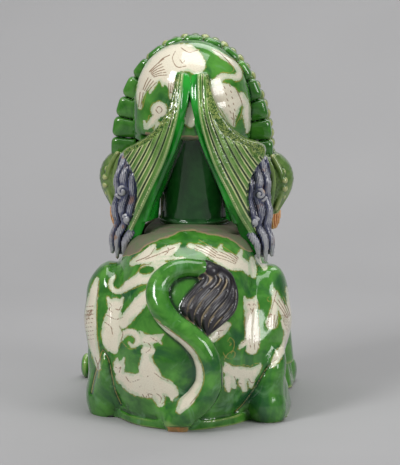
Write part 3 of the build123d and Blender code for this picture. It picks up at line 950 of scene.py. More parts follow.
class Painting:
    """Cream reserves and incised lines on a plane, as distances from each painted point."""

    def __init__(self, across, up):
        self.p = np.stack([across, up], 1)
        self.cream = np.full(len(across), UNPAINTED)
        self.line = np.full(len(across), UNPAINTED)

    def blob(self, x, y, rx, ry, turn=0.0, hole=False):
        c, s = math.cos(math.radians(turn)), math.sin(math.radians(turn))
        d = self.p - (x, y)
        px, py = c * d[:, 0] + s * d[:, 1], -s * d[:, 0] + c * d[:, 1]
        near = np.hypot(px / rx, py / ry)
        slope = np.hypot(px / rx**2, py / ry**2)
        distance = near * (near - 1) / np.maximum(slope, 1e-4)
        self.cream = np.maximum(self.cream, -distance) if hole else self.join(distance)

    def join(self, distance, softness=1.5):
        h = np.clip(0.5 + 0.5 * (distance - self.cream) / softness, 0, 1)
        return distance + (self.cream - distance) * h - softness * h * (1 - h)

    def reach(self, rows):
        best = np.full(len(self.p), UNPAINTED)
        rows = np.array(rows, float)
        for a, b in zip(rows[:-1], rows[1:]):
            leg = b[:2] - a[:2]
            t = np.clip(((self.p - a[:2]) @ leg) / max(leg @ leg, 1e-6), 0, 1)
            gap = np.linalg.norm(self.p - a[:2] - t[:, None] * leg, axis=1)
            best = np.minimum(best, gap - (a[2] + (b[2] - a[2]) * t))
        return best

    def limb(self, *rows, smooth=4, hole=False):
        """A tapering shape along (x, y, half width) points."""
        distance = self.reach(flowing(rows, smooth))
        self.cream = np.maximum(self.cream, -distance) if hole else self.join(distance)

    def stroke(self, *points, smooth=4):
        """An incised line through (x, y) points."""
        rows = [(x, y, 0.0) for x, y in flowing(points, smooth)]
        self.line = np.minimum(self.line, self.reach(rows))

    def feathers(self, x, y, length, turn, count, spread=5.0):
        """A row of long incised feather lines."""
        for number in range(count):
            a = math.radians(turn + spread * (number - count / 2))
            ox = (number - count / 2) * 3.4 * math.sin(math.radians(turn))
            oy = -(number - count / 2) * 3.4 * math.cos(math.radians(turn))
            self.stroke(
                (x + ox, y + oy),
                (x + ox + 0.5 * length * math.cos(a), y + oy + 0.5 * length * math.sin(a) + 0.8),
                (x + ox + length * math.cos(a), y + oy + length * math.sin(a)),
            )


def paint_rump(s):
    """The animals reserved on the body, as seen from behind; x from the tail root, y up."""
    # a crane's head and coiled neck, upper left
    s.blob(-28, 168, 15, 11, 14)
    s.limb((-20, 172, 5), (-15, 178, 4), (-24, 179, 3))
    s.limb((-38, 163, 6), (-50, 157, 5), (-61, 149, 3), (-69, 151, 2.5), (-71, 159, 2.5),
           (-67, 165, 1.2))
    s.blob(-33, 171.5, 8.5, 4.4, 10, hole=True)
    s.stroke((-16, 176), (-14, 168), (-22, 158), (-36, 156), (-48, 151))
    s.stroke((-42, 170), (-38, 176), (-28, 178))
    # seated creature, left
    s.blob(-66, 134, 8, 7.5)
    s.limb((-72, 137, 3), (-74, 142, 1.2))
    s.limb((-60, 138, 2.5), (-58, 142, 1))
    s.limb((-67.5, 125, 8), (-70, 110, 10.5), (-70.5, 95, 9), (-67, 86, 4))
    s.limb((-58, 115, 6), (-48, 127, 6.5), (-39, 138, 7), (-32, 148, 3.5))
    s.limb((-61, 99, 4), (-54, 105, 3.6), (-45, 104, 3.8), (-41, 96, 3.4), (-47, 90.5, 2),
           (-51, 94, 1.2))
    s.stroke((-72, 136), (-70, 133), (-73, 130), (-69, 126))
    s.stroke((-66, 130), (-62, 129), (-60, 133))
    s.stroke((-76, 124), (-66, 119), (-58, 121))
    s.stroke((-78, 116), (-71, 111), (-69, 103))
    s.stroke((-62, 112), (-58, 104), (-60, 96))
    s.stroke((-49, 101), (-45, 98), (-47, 93))
    s.stroke((-58, 94), (-52, 88), (-44, 87))
    # smoke or a blossom beside it
    s.blob(-32, 97, 8, 6.5)
    s.limb((-26, 98, 5), (-20, 100, 3.5), (-15, 103, 1))
    s.limb((-36, 101, 3), (-39, 106, 1))
    s.limb((-20, 98, 2), (-17, 93, 1))
    s.blob(-31, 86, 7.5, 6.5)
    s.stroke((-36, 95), (-30, 93), (-28, 88), (-33, 84))
    s.stroke((-28, 100), (-23, 97), (-20, 95))
    # fox and its large body, lower left
    s.blob(-62, 67, 6.2, 7.5)
    s.limb((-65, 72, 2.6), (-64, 77, 1))
    s.limb((-59, 71, 2.4), (-57, 78, 1))
    s.limb((-60, 57, 6), (-45, 50, 11), (-28, 48, 13), (-12, 46, 9), (-3, 41, 5))
    s.limb((-33, 79, 5), (-32, 68, 9), (-28, 56, 12))
    s.limb((-20, 40, 8), (-18, 30, 4), (-17, 27, 2))
    s.limb((-5, 38, 3), (-5, 33, 1))
    s.stroke((-66, 68), (-63, 66), (-60, 68), (-62, 62))
    s.stroke((-55, 58), (-50, 52), (-40, 55))
    s.stroke((-24, 62), (-16, 56), (-8, 53))
    s.stroke((-37, 39), (-34, 35), (-31, 39), (-29, 34), (-26, 38), (-33, 41))
    s.stroke((-22, 40), (-17, 36), (-18, 30))
    s.stroke((-14, 38), (-12, 33), (-16, 29))
    for x, y in ((-40, 47), (-25, 44), (-32, 58), (-18, 50)):
        s.stroke((x, y), (x + 1.4, y + 0.8), smooth=1)
    # standing creature seen from the front, right
    s.blob(79, 133, 8, 8)
    s.limb((74, 138, 3), (72, 143, 1))
    s.limb((83.5, 138, 3), (84, 144, 1))
    s.limb((79, 125, 7), (80, 110, 7.6), (81, 97, 8), (80, 88, 6.5))
    s.limb((74, 95, 3), (69, 91, 2.6), (67, 88, 1.2))
    s.stroke((75, 134), (77, 135.5), (78, 133.5))
    s.stroke((81, 133.5), (82, 135.5), (84, 134))
    s.stroke((78, 131), (80, 128.5), (82, 131), (80, 126), (77, 124))
    s.stroke((86, 138), (88, 130), (86.5, 120), (88, 108), (87.5, 95), (86, 84))
    s.stroke((73, 122), (72.5, 110), (73.5, 98), (69, 93))
    s.stroke((78, 104), (77, 96), (79, 88))
    s.stroke((83, 102), (82.5, 94), (83, 87))
    # bird with open wings, far right
    s.limb((103.5, 151, 1.5), (105, 142, 3.5), (104.5, 130, 4), (101, 115, 6.8))
    s.limb((105.5, 148, 2), (112, 132, 4.4), (118, 119, 5), (119, 107, 3))
    s.stroke((99, 143), (96.5, 141), (98, 138), (101, 139))
    s.feathers(103, 124, 14, -95, 5)
    s.feathers(108, 140, 22, -60, 4)
    s.stroke((107, 150), (103, 136), (99, 122), (95, 112))
    # scrolls, right of the tail
    s.stroke((54, 96), (57, 99.6), (61, 95), (60, 87), (54, 82), (50, 76), smooth=6)
    s.stroke((56, 95), (58, 93), (56, 91), smooth=6)
    s.stroke((49, 84), (52, 79), (57, 77), (61, 79), (62, 83.5), (59, 85), (58, 82), smooth=6)
    # grazing goat, lower right
    s.limb((53.5, 66, 5), (58, 63, 6), (67, 62, 6.5), (79, 61, 6.5), (86, 66, 3.5), (89, 71, 1.4))
    s.limb((54, 70, 2.4), (51, 73, 1))
    s.limb((55, 56, 5), (54.5, 47, 3.4), (55, 43, 2))
    s.limb((60, 55, 3), (61, 47, 2.4))
    s.limb((70, 52, 4.5), (72, 44, 3))
    s.limb((80, 56, 4), (79, 48, 2.6))
    s.stroke((52, 70), (57, 71.5), (63, 69), (70, 70.5), (78, 69), (85, 72), (89, 70))
    s.stroke((61, 58), (64, 52), (69, 50))
    s.stroke((76, 56), (80, 51), (84, 53))
    # cloud by the tuft
    s.limb((54, 113, 3.6), (47, 107, 5.5), (38, 99, 4.5))
    s.limb((50, 112, 2.6), (45, 113, 1.4))
    s.stroke((40, 97), (45, 101), (44, 106), (50, 108))
    # bands down the flanks
    s.limb((-86, 162, 2), (-90, 145, 5), (-93, 125, 6.5), (-92, 104, 6), (-88, 84, 4.4),
           (-84, 66, 2))
    s.limb((118, 152, 1.6), (121, 130, 3.6), (119, 104, 4), (115, 90, 4), (108, 80, 4.4),
           (103, 71, 3))
    for number in range(9):
        s.stroke((-98, 132 - 4.4 * number), (-90, 133 - 4.4 * number), smooth=1)
    for edge in SHANK_EDGES:
        s.stroke(*edge)
    s.stroke((-84, 160), (-86, 140), (-86, 116), (-85, 95), (-82, 78))
    s.stroke((-88, 78), (-84, 66), (-84, 56))
    # leaves and feathers under the bare shoulder shelf
    s.limb((-48, 179, 3), (-36, 186, 5), (-27, 194, 4), (-24, 198, 1.4))
    s.limb((-32, 184, 5), (-20, 189, 4), (-9, 192, 6), (0, 197, 2.6), (3, 200, 1))
    s.limb((-40, 182, 4), (-26, 183, 3), (-8, 184.5, 2), (8, 184.5, 0.8))
    s.limb((13, 198, 2), (28, 194, 4), (43, 187, 7), (59, 180, 8.5), (71, 177, 6), (76, 168, 2))
    s.limb((45, 190, 4), (47, 198, 1.4))
    s.limb((66, 184, 4), (69, 193, 1.4))
    s.limb((80, 184, 2), (81, 174, 4), (82, 166, 3))
    s.limb((90, 184, 5), (94, 174, 3))
    s.feathers(20, 198, 24, -28, 4, spread=3)
    s.feathers(44, 190, 22, -26, 5, spread=4)
    s.stroke((-44, 181), (-30, 187), (-24, 195))
    s.stroke((-34, 183), (-16, 190), (-2, 196))
    s.stroke((-13, 188), (-9, 192), (-10, 196))


def paint_dome(s):
    """Cranes reserved on the back of the skull."""
    # spread wing, upper left
    s.limb((-40, 346, 2), (-40, 358, 4), (-34, 373, 8.5), (-23, 387, 13), (-6, 397, 15),
           (10, 399, 14.5),
           (21, 391, 9.5))
    s.limb((-12, 380, 9), (-7, 369, 4), (-6, 356, 2))
    s.limb((-24, 376, 5), (-29, 362, 1.4))
    s.limb((-16, 380, 5), (-15, 369, 1.2))
    s.feathers(-14, 388, 15, 205, 5, spread=7)
    s.feathers(-28, 376, 14, 240, 4, spread=6)
    s.feathers(-5, 379, 18, 262, 4, spread=5)
    s.feathers(-38, 362, 16, 262, 3, spread=4)
    s.stroke((-2, 406), (-5, 398), (0, 389), (10, 390))
    s.stroke((3, 397), (6, 393), (8, 396))
    s.stroke((-14, 398), (-22, 392), (-30, 384))
    s.stroke((-8, 402), (-16, 398), (-20, 393))
    s.stroke((4, 410), (12, 405), (22, 407))
    # rosette, lower left
    s.blob(-19.5, 343.5, 9, 8.5)
    s.limb((-22, 337, 4), (-27, 330, 4), (-33, 324.5, 2.6), (-35, 331, 1.2))
    s.limb((-20, 326, 4), (-22, 316, 4))
    s.stroke((-23, 343), (-19.5, 347), (-16, 343), (-19.5, 339.5), (-23, 343))
    s.stroke((-25, 338), (-30, 337), (-31, 333))
    # crane with an S neck, right
    s.limb((39, 407, 1.4), (48.5, 400.5, 2.6), (59, 395, 3), (66, 387, 3.2), (65, 378.5, 3.8),
           (56.5, 379, 2.8),
           (48, 378.5, 3.8), (41, 371, 5))
    s.limb((43, 364, 8), (53, 357, 13), (59.5, 345, 11), (60.5, 332, 6), (61, 326, 1.5))
    s.limb((69, 358, 4.5), (74, 345, 5), (76, 330, 4), (75.5, 320, 1.6))
    s.limb((69.5, 346, 1.6), (66, 334, 2.4), (64, 324, 2.4), hole=True)
    s.stroke((36, 409), (50, 402), (61, 397), (69, 388), (69, 376), (62, 373))
    s.stroke((45, 405), (56, 394), (61, 387), (57, 383), (48, 383), (40, 377))
    for number in range(6):
        x, y, down = 50 + 1.6 * number, 56 + 1.3 * number, 6.5 * number
        s.stroke((x, 368 - down), (x + 1.5, 365.5 - down), smooth=1)
        s.stroke((y, 370 - down), (y + 1, 368 - down), smooth=1)
    s.stroke((64, 364), (69.5, 350), (68, 338), (62, 326))
    s.stroke((60, 340), (61, 332), (60, 326))
    # seen through the parting of the mane
    s.limb((14, 350, 1.4), (14, 340, 4), (14, 332, 6), (14, 328, 4))


def paint_side(s):
    """A crane, a cloud and a running deer on each flank; x is forward, y is up."""
    s.blob(-30, 96, 17, 8, 20)
    s.limb((-18, 103, 4), (-6, 112, 2.6), (-8, 124, 2.2), (2, 130, 2.4), (10, 128, 1.2))
    s.limb((-34, 92, 6), (-50, 104, 5), (-58, 120, 2))
    s.limb((-28, 88, 2), (-30, 70, 1.4))
    s.limb((-36, 88, 2), (-44, 72, 1.4))
    s.feathers(-34, 96, 24, 135, 5)
    s.blob(22, 60, 16, 7.5)
    s.limb((34, 64, 5), (42, 76, 3.6), (48, 78, 2.4))
    s.limb((12, 56, 3), (6, 44, 1.8))
    s.limb((30, 55, 3), (38, 44, 1.8))
    s.stroke((12, 62), (22, 66), (32, 63))
    s.stroke((14, 56), (24, 54), (32, 57))
    s.limb((-8, 150, 3), (6, 156, 5), (20, 152, 3.4), (28, 158, 1.6))
    s.stroke((-4, 150), (6, 153), (16, 151))
    s.blob(62, 110, 9, 7)
    s.limb((62, 104, 5), (58, 94, 3), (64, 88, 1.6))
    s.stroke((56, 112), (62, 115), (68, 110))


def paint_chest(s):
    """Clouds, a blossom and a bird on the chest; x is to the left as the animal sees it."""
    s.blob(0, 120, 10, 9)
    s.limb((-6, 112, 4), (-18, 104, 4), (-28, 110, 2))
    s.limb((6, 112, 4), (18, 104, 4), (28, 110, 2))
    s.limb((0, 110, 4), (0, 92, 5), (-6, 80, 2))
    s.stroke((-6, 121), (0, 125), (6, 121), (0, 116), (-6, 121))
    s.stroke((0, 108), (0, 86))
    s.blob(-22, 60, 14, 6, 15)
    s.limb((-10, 64, 4), (0, 72, 2.4), (6, 70, 1.4))
    s.limb((-32, 56, 4), (-40, 46, 2))
    s.feathers(-22, 60, 16, 200, 4)
    s.blob(26, 52, 10, 8)
    s.limb((30, 58, 4), (38, 66, 3), (44, 62, 1.4))
    s.stroke((20, 52), (26, 56), (32, 52))
    s.limb((-30, 160, 2), (-16, 154, 4), (0, 158, 4.5), (16, 154, 4), (30, 160, 2))
    s.stroke((-24, 158), (0, 155), (24, 158))


def face_on(normals, direction, least):
    """How far a spot faces away from the painter, as a distance that shrinks what is painted."""
    return np.clip(least - normals @ direction, 0, 1) * 40


def paint_all(piece, points, normals, back_painting, others=True):
    behind = Painting(*seen_from_behind(points))
    back_painting(behind)
    cream = behind.cream + face_on(normals, -EYE_FORWARD, 0.12)
    line = behind.line + face_on(normals, -EYE_FORWARD, 0.1)
    if others:
        for direction, across, painting in (
            (np.array([1.0, 0, 0]), points[:, 1], paint_side),
            (np.array([-1.0, 0, 0]), points[:, 1], paint_side),
            (np.array([0, 1.0, 0]), -points[:, 0], paint_chest),
        ):
            away = face_on(normals, direction, 0.72 if direction[1] == 0 else 0.6)
            away = away + np.clip(normals @ -EYE_FORWARD - 0.55, 0, 1) * 60
            view = Painting(across, points[:, 2])
            painting(view)
            cream = np.minimum(cream, view.cream + away)
            line = np.minimum(line, view.line + away)
    note(piece, "cream", np.clip(cream, -20, 20))
    note(piece, "line", np.clip(line, 0, 8))


def body_painter(piece, points, normals):
    paint_all(piece, points, normals, paint_rump)
    # bare biscuit on the shoulder shelf: its edge runs down to both sides, under the mane
    # the bare clay here is coloured darker, partly as painted shade from the head above
    u, v = seen_from_behind(points)
    edge = 213 - 17 * np.clip((u - 18) / 51, -1.6, 1.6) ** 2
    bare = edge - v + 1.2 * np.sin(u / 7) + np.clip(178 - points[:, 2], 0, 20)
    bare = bare + 40 * smooth_ramp(points[:, 1], 60, 75)
    note(piece, "bare", np.clip(bare, -EDGE_REACH, EDGE_REACH))


def dome_painter(piece, points, normals):
    paint_all(piece, points, normals, paint_dome, others=False)
    bare = points[:, 2] - (head_low[2] + 4.0) + 30 * smooth_ramp(points[:, 1], -8, 4)
    note(piece, "bare", np.clip(bare, -EDGE_REACH, EDGE_REACH))


# ================================================================ glazes
DEEP_GREEN = (0.003, 0.040, 0.004)
MID_GREEN = (0.028, 0.165, 0.012)
LIGHT_GREEN = (0.095, 0.330, 0.040)
PALE_EDGE = (0.400, 0.520, 0.160)
CREAM = (0.850, 0.795, 0.635)
WARM_CREAM = (0.850, 0.720, 0.550)
INCISED_BROWN = (0.200, 0.085, 0.025)
OUTLINE_YELLOW = (0.330, 0.300, 0.060)
# bare clay, its dark grey-brown partly painted shade: it lies on the shoulder shelf under the head
# and at the dome's lower edge
BISCUIT_IN_SHADE = (0.190, 0.165, 0.115)
PEACH = (0.640, 0.360, 0.210)


class Nodes:
    """A short way to write a node tree."""

    def __init__(self, name):
        self.material = bpy.data.materials.new(name)
        self.material.use_nodes = True
        self.tree = self.material.node_tree
        self.surface = self.tree.nodes["Principled BSDF"]

    def put(self, target, value):
        if isinstance(value, bpy.types.NodeSocket):
            self.tree.links.new(value, target)
        elif isinstance(value, tuple) and len(value) == 3 and target.type == "RGBA":
            target.default_value = (*value, 1.0)
        else:
            target.default_value = value

    def math(self, operation, a, b=0.0):
        node = self.tree.nodes.new("ShaderNodeMath")
        node.operation = operation
        self.put(node.inputs[0], a)
        self.put(node.inputs[1], b)
        return node.outputs[0]

    def plus(self, a, b):
        return self.math("ADD", a, b)

    def times(self, a, b):
        return self.math("MULTIPLY", a, b)

    def sway(self, noise, amount):
        """A noise turned into a shift to both sides of zero."""
        return self.times(self.math("SUBTRACT", noise, 0.5), amount)

    def ramp(self, value, low, high, start=0.0, end=1.0):
        node = self.tree.nodes.new("ShaderNodeMapRange")
        node.interpolation_type = "SMOOTHSTEP"
        for socket, number in zip(node.inputs, (value, low, high, start, end)):
            self.put(socket, number)
        return node.outputs[0]

    def mix(self, factor, a, b):
        node = self.tree.nodes.new("ShaderNodeMix")
        node.data_type = "RGBA"
        self.put(node.inputs[0], factor)
        self.put(node.inputs[6], a)
        self.put(node.inputs[7], b)
        return node.outputs[2]

    def field(self, name):
        node = self.tree.nodes.new("ShaderNodeAttribute")
        node.attribute_name = name
        return node.outputs["Fac"]

    def place(self):
        node = self.tree.nodes.new("ShaderNodeTexCoord")
        return node.outputs["Object"]

    def noise(self, per_metre, detail=3.0, rough=0.55, stretch=None, warp=0.0):
        node = self.tree.nodes.new("ShaderNodeTexNoise")
        where = self.place()
        if stretch:
            mapping = self.tree.nodes.new("ShaderNodeMapping")
            mapping.inputs["Scale"].default_value = stretch
            self.tree.links.new(where, mapping.inputs["Vector"])
            where = mapping.outputs[0]
        self.tree.links.new(where, node.inputs["Vector"])
        node.inputs["Scale"].default_value = per_metre
        node.inputs["Detail"].default_value = detail
        node.inputs["Roughness"].default_value = rough
        node.inputs["Distortion"].default_value = warp
        return node.outputs["Fac"]

    def cracks(self, per_metre):
        node = self.tree.nodes.new("ShaderNodeTexVoronoi")
        node.feature = "DISTANCE_TO_EDGE"
        self.tree.links.new(self.place(), node.inputs["Vector"])
        node.inputs["Scale"].default_value = per_metre
        return node.outputs["Distance"]

    def bump(self, height, strength, distance, after=None):
        node = self.tree.nodes.new("ShaderNodeBump")
        node.inputs["Strength"].default_value = strength
        node.inputs["Distance"].default_value = distance
        self.tree.links.new(height, node.inputs["Height"])
        if after is not None:
            self.tree.links.new(after, node.inputs["Normal"])
        return node.outputs[0]

    def glassy(self, color, rough, normal, coat=0.6):
        self.put(self.surface.inputs["Base Color"], color)
        self.put(self.surface.inputs["Coat Weight"], coat)
        self.put(self.surface.inputs["Roughness"], rough)
        self.put(self.surface.inputs["Normal"], normal)
        self.surface.inputs["IOR"].default_value = 1.52
        self.surface.inputs["Coat Roughness"].default_value = 0.06
        return self.material


def pooled(n, deep, mid, light, edge, ridge_low=-0.5, ridge_high=0.75):
    """Glaze runs dark into hollows and breaks pale over ridges."""
    cloud = n.noise(34, 4, 0.6, warp=0.6)
    runs = n.noise(60, 3, 0.5, stretch=(1.0, 1.0, 0.22))
    thin = n.plus(n.field("ridge"), n.sway(cloud, 0.35))
    broad = n.plus(n.field("swell"), n.sway(runs, 1.2))
    body = n.mix(n.ramp(cloud, 0.32, 0.70), mid, light)
    body = n.mix(n.ramp(n.times(broad, -1.0), 0.1, 2.2, 0.0, 0.85), body, deep)
    body = n.mix(n.ramp(runs, 0.50, 0.75, 0.0, 0.35), body, deep)
    body = n.mix(n.ramp(n.times(thin, -1.0), 0.06, -ridge_low, 0.0, 0.95), body, deep)
    return n.mix(n.ramp(thin, 0.16, ridge_high, 0.0, 0.85), body, edge)


def glaze_bump(n, waves=0.25):
    slow = n.noise(85, 2, 0.4)
    pits = n.noise(1400, 2, 0.6)
    first = n.bump(slow, waves, 0.0012)
    return n.bump(n.ramp(pits, 0.72, 0.86), -0.25, 0.0002, after=first)


def glaze_rough(n, low=0.07, high=0.22):
    return n.ramp(n.noise(120, 3), 0.35, 0.75, low, high)


def green_glaze(name, deep=DEEP_GREEN, mid=MID_GREEN, light=LIGHT_GREEN, edge=PALE_EDGE):
    n = Nodes(name)
    color = pooled(n, deep, mid, light, edge)
    return n.glassy(color, glaze_rough(n), glaze_bump(n))


def decorated_glaze(name, bare_colors=(BISCUIT_IN_SHADE, PEACH), bare_width=3.0):
    """Green ground with cream reserves, incised outlines and some bare biscuit."""
    n = Nodes(name)
    green = pooled(n, DEEP_GREEN, MID_GREEN, LIGHT_GREEN, PALE_EDGE)
    pool = n.ramp(n.noise(16, 3, 0.6, warp=1.2), 0.48, 0.68, 0.0, 0.8)
    green = n.mix(pool, green, (0.010, 0.085, 0.030))
    veil = n.ramp(n.noise(24, 3, 0.6, warp=1.5), 0.57, 0.75, 0.0, 0.5)
    green = n.mix(veil, green, (0.200, 0.420, 0.200))
    wander = n.sway(n.noise(260, 3), 3.2)
    fine = n.sway(n.noise(900, 2), 1.2)
    edge = n.plus(n.plus(n.field("cream"), wander), fine)
    warmth = n.noise(55, 3)
    cream = n.mix(n.ramp(warmth, 0.45, 0.75, 0.0, 0.45), CREAM, WARM_CREAM)
    # a breath of green where the ground has bled over the reserve
    bleed = n.ramp(n.plus(edge, n.sway(n.noise(70, 2), 9.0)), -3.6, 0.2)
    cream = n.mix(n.times(bleed, 0.6), cream, (0.42, 0.60, 0.36))
    inside = n.ramp(edge, 0.45, -0.45)
    color = n.mix(inside, green, cream)
    rim = n.ramp(n.math("ABSOLUTE", n.plus(edge, -0.5)), 0.85, 0.25)
    broken = n.ramp(n.noise(150, 2), 0.40, 0.58)
    color = n.mix(n.times(n.times(rim, broken), 0.75), color, OUTLINE_YELLOW)
    line = n.plus(n.field("line"), n.sway(n.noise(500, 2), 0.5))
    cut = n.ramp(line, 0.75, 0.2)
    line_color = n.mix(inside, OUTLINE_YELLOW, INCISED_BROWN)
    color = n.mix(n.times(cut, 0.85), color, line_color)
    bare_edge = n.plus(n.field("bare"), n.sway(n.noise(90, 3), 5.0))
    bare = n.ramp(bare_edge, bare_width * 0.35, -bare_width * 0.35)
    # by default the bare clay colour is darkened, partly as painted shade
    biscuit = n.mix(n.ramp(n.noise(75, 4, 0.6, warp=1.0), 0.35, 0.68), bare_colors[0],
                    (0.13, 0.19, 0.085))
    biscuit = n.mix(n.ramp(bare_edge, -2.2, 0.4, 0.0, 0.7), biscuit, bare_colors[1])
    color = n.mix(bare, color, biscuit)
    rough = n.plus(glaze_rough(n), n.times(bare, 0.55))
    normal = glaze_bump(n)
    groove = n.plus(n.ramp(line, 0.9, 0.2), n.times(rim, 0.5))
    normal = n.bump(groove, -0.5, 0.0005, after=normal)
    crackle = n.times(n.ramp(n.cracks(420), 0.05, 0.0), inside)
    color = n.mix(n.times(crackle, 0.22), color, INCISED_BROWN)
    return n.glassy(color, rough, normal, coat=n.times(n.math("SUBTRACT", 1.0, bare), 0.5))


def hair_glaze(name, deep, mid, light, tip, fleck, fleck_amount, dull=0.12, coat=0.6):
    """Coloured hair: dark in its combed grooves, pale on the strands, with another glaze's flecks."""
    n = Nodes(name)
    cloud = n.noise(90, 4, 0.6)
    thin = n.plus(n.field("ridge"), n.sway(cloud, 0.5))
    color = n.mix(n.ramp(cloud, 0.35, 0.68), mid, light)
    color = n.mix(n.ramp(n.times(thin, -1.0), 0.0, 0.5, 0.0, 0.95), color, deep)
    color = n.mix(n.ramp(thin, 0.10, 0.50, 0.0, 0.8), color, tip)
    spot = n.ramp(n.noise(55, 2), 0.60, 0.70, 0.0, fleck_amount)
    color = n.mix(n.times(spot, n.ramp(thin, -0.1, 0.35)), color, fleck)
    return n.glassy(color, glaze_rough(n, dull, dull + 0.18), glaze_bump(n, 0.35), coat)


def sheet_glaze(name):
    """Combed green: dark grooves, yellow-green ridges and a glossy dark wall at the parting."""
    n = Nodes(name)
    color = pooled(n, (0.004, 0.035, 0.004), (0.040, 0.150, 0.018), (0.130, 0.300, 0.050),
                   (0.440, 0.540, 0.180))
    speckle = n.ramp(n.noise(420, 2, 0.6, warp=1.5), 0.47, 0.56)
    stipple = n.mix(speckle, (0.020, 0.070, 0.010), (0.330, 0.400, 0.110))
    color = n.mix(n.times(n.field("stipple"), 0.85), color, stipple)
    wall = n.ramp(n.field("wall"), 0.4, -1.4)
    wall_color = n.mix(n.ramp(n.noise(45, 3, stretch=(1, 1, 0.3)), 0.4, 0.65),
                       (0.003, 0.130, 0.008), (0.020, 0.360, 0.028))
    color = n.mix(wall, color, wall_color)
    border = n.ramp(n.math("ABSOLUTE", n.field("wall")), 1.5, 0.4)
    color = n.mix(n.times(border, 0.75), color, (0.300, 0.480, 0.190))
    # each dark groove runs between two thin pale lines
    waver = n.sway(n.noise(120, 3, stretch=(1, 1, 0.3)), 0.10)
    beside = n.math("ABSOLUTE", n.plus(n.plus(n.field("groove"), -0.21), waver))
    pale = n.times(n.ramp(beside, 0.11, 0.04),
                   n.ramp(n.noise(38, 2, stretch=(1, 1, 0.35)), 0.36, 0.56, 0.25, 0.95))
    color = n.mix(pale, color, (0.640, 0.680, 0.330))
    groove = n.ramp(n.field("groove"), 0.15, 0.05)
    color = n.mix(n.times(groove, 0.9), color, (0.008, 0.022, 0.005))
    return n.glassy(color, glaze_rough(n), glaze_bump(n))


def eye_glaze(name):
    """Cream eyeballs with a dark pupil and ring."""
    n = Nodes(name)
    pupil = n.ramp(n.field("pupil"), 6.2, 5.4)
    ring = n.ramp(n.math("ABSOLUTE", n.plus(n.field("pupil"), -8.6)), 1.0, 0.5)
    color = n.mix(n.ramp(n.noise(90, 3), 0.45, 0.75, 0.0, 0.5), CREAM, WARM_CREAM)
    color = n.mix(n.times(ring, 0.8), color, INCISED_BROWN)
    color = n.mix(pupil, color, (0.006, 0.005, 0.006))
    return n.glassy(color, glaze_rough(n), glaze_bump(n))


# ================================================================ putting the pieces together
decorated = decorated_glaze("decorated_green")
plain_green = green_glaze("plain_green")
# a darker copy of the green glaze: on the neck tube its darkness is partly painted shade from the
# head and mane above it, on the nose it is the glaze's own tone
dark_green_and_painted_shade = green_glaze("dark_green_and_painted_shade", (0.001, 0.018, 0.002), (0.006, 0.062, 0.010),
                         (0.020, 0.115, 0.022), (0.06, 0.18, 0.06))
yellow_green = green_glaze("yellow_green", (0.020, 0.045, 0.008), (0.090, 0.190, 0.035),
                           (0.190, 0.300, 0.070), (0.500, 0.520, 0.210))
dark_green_and_painted_shade.node_tree.nodes["Principled BSDF"].inputs["Specular IOR Level"].default_value = 0.25
combed_green = sheet_glaze("combed_green")
blue_hair = hair_glaze("blue_hair", (0.006, 0.008, 0.022), (0.032, 0.040, 0.090),
                       (0.080, 0.090, 0.170),
                       (0.480, 0.480, 0.500), (0.330, 0.160, 0.070), 0.75)
black_hair = hair_glaze("black_hair", (0.420, 0.330, 0.190), (0.006, 0.005, 0.007),
                        (0.012, 0.010, 0.015),
                        (0.030, 0.026, 0.032), (0.10, 0.07, 0.05), 0.1, dull=0.28, coat=0.25)
orange_hair = hair_glaze("orange_hair", (0.200, 0.045, 0.006), (0.620, 0.190, 0.025),
                         (0.820, 0.330, 0.060),
                         (0.880, 0.560, 0.240), (0.20, 0.25, 0.05), 0.3)
cream_glaze = hair_glaze("cream", (0.30, 0.22, 0.12), CREAM, (0.82, 0.78, 0.62), (0.85, 0.82, 0.70),
                         WARM_CREAM, 0.4)


def rim_painter(piece, points, normals):
    """The small bare spot where the tail's root touches the floor."""
    note(piece, "cream", np.full(len(points), 9.0))
    note(piece, "line", np.full(len(points), 8.0))
    spot = np.maximum(points[:, 2] - 9,
                      np.maximum(np.abs(points[:, 0] - 1) - 11, points[:, 1] + 115))
    note(piece, "bare", np.clip(spot, -EDGE_REACH, EDGE_REACH))


def tail_painter(piece, points, normals):
    """The cream stripe with its incised midline, down the inner side of the lower tail."""
    view = Painting(*seen_from_behind(points))
    view.limb((-25, 120, 0.8), (-17, 113, 1.8), (-2, 99, 3.8), (11.5, 87, 5.2), (19, 73, 5.6),
              (22, 57.5, 6),
              (17.5, 44, 6.4), (9.5, 32, 7), (3, 23, 4))
    view.stroke((-22, 114), (-8, 102), (6, 91), (15, 76), (18, 62), (16, 50))
    view.stroke((-26, 121), (-14, 112), (2, 101), (17, 88), (26.5, 72), (29, 56), (24, 42),
                (14, 29))
    view.stroke((-15, 108), (-4, 99), (8, 86))
    note(piece, "cream", view.cream + face_on(normals, -EYE_FORWARD, 0.0))
    note(piece, "line", np.clip(view.line + face_on(normals, -EYE_FORWARD, 0.0), 0, 8))
    note(piece, "bare", np.clip(points[:, 2] - 3.0, -EDGE_REACH, EDGE_REACH))


bare_foot = decorated_glaze("bare_foot", ((0.62, 0.30, 0.10), (0.62, 0.36, 0.14)))
BODY_LOOK = {
    "body_shell": (decorated, "decorated_green_glaze", body_painter),
    "haunch_left": (decorated, "decorated_green_glaze", body_painter),
    "haunch_right": (decorated, "decorated_green_glaze", body_painter),
    "hind_foot_left": (decorated, "green_glaze", body_painter),
    "hind_foot_right": (decorated, "green_glaze", body_painter),
    "base_rim": (bare_foot, "green_glaze", rim_painter),
    "tail": (decorated, "decorated_green_glaze", tail_painter),
    "tail_tuft": (black_hair, "black_glaze", None),
}


def dress_body(node, block, field, whole):
    material, slot, painter = BODY_LOOK.get(node, (plain_green, "green_glaze", None))
    finish_piece(node, block, field, whole, material, slot, painter=painter)


sculpt_group(BODY_GROUP, {"tail": TAIL_STEP, "tail_tuft": FINE_STEP}, dress_body, body_detail)


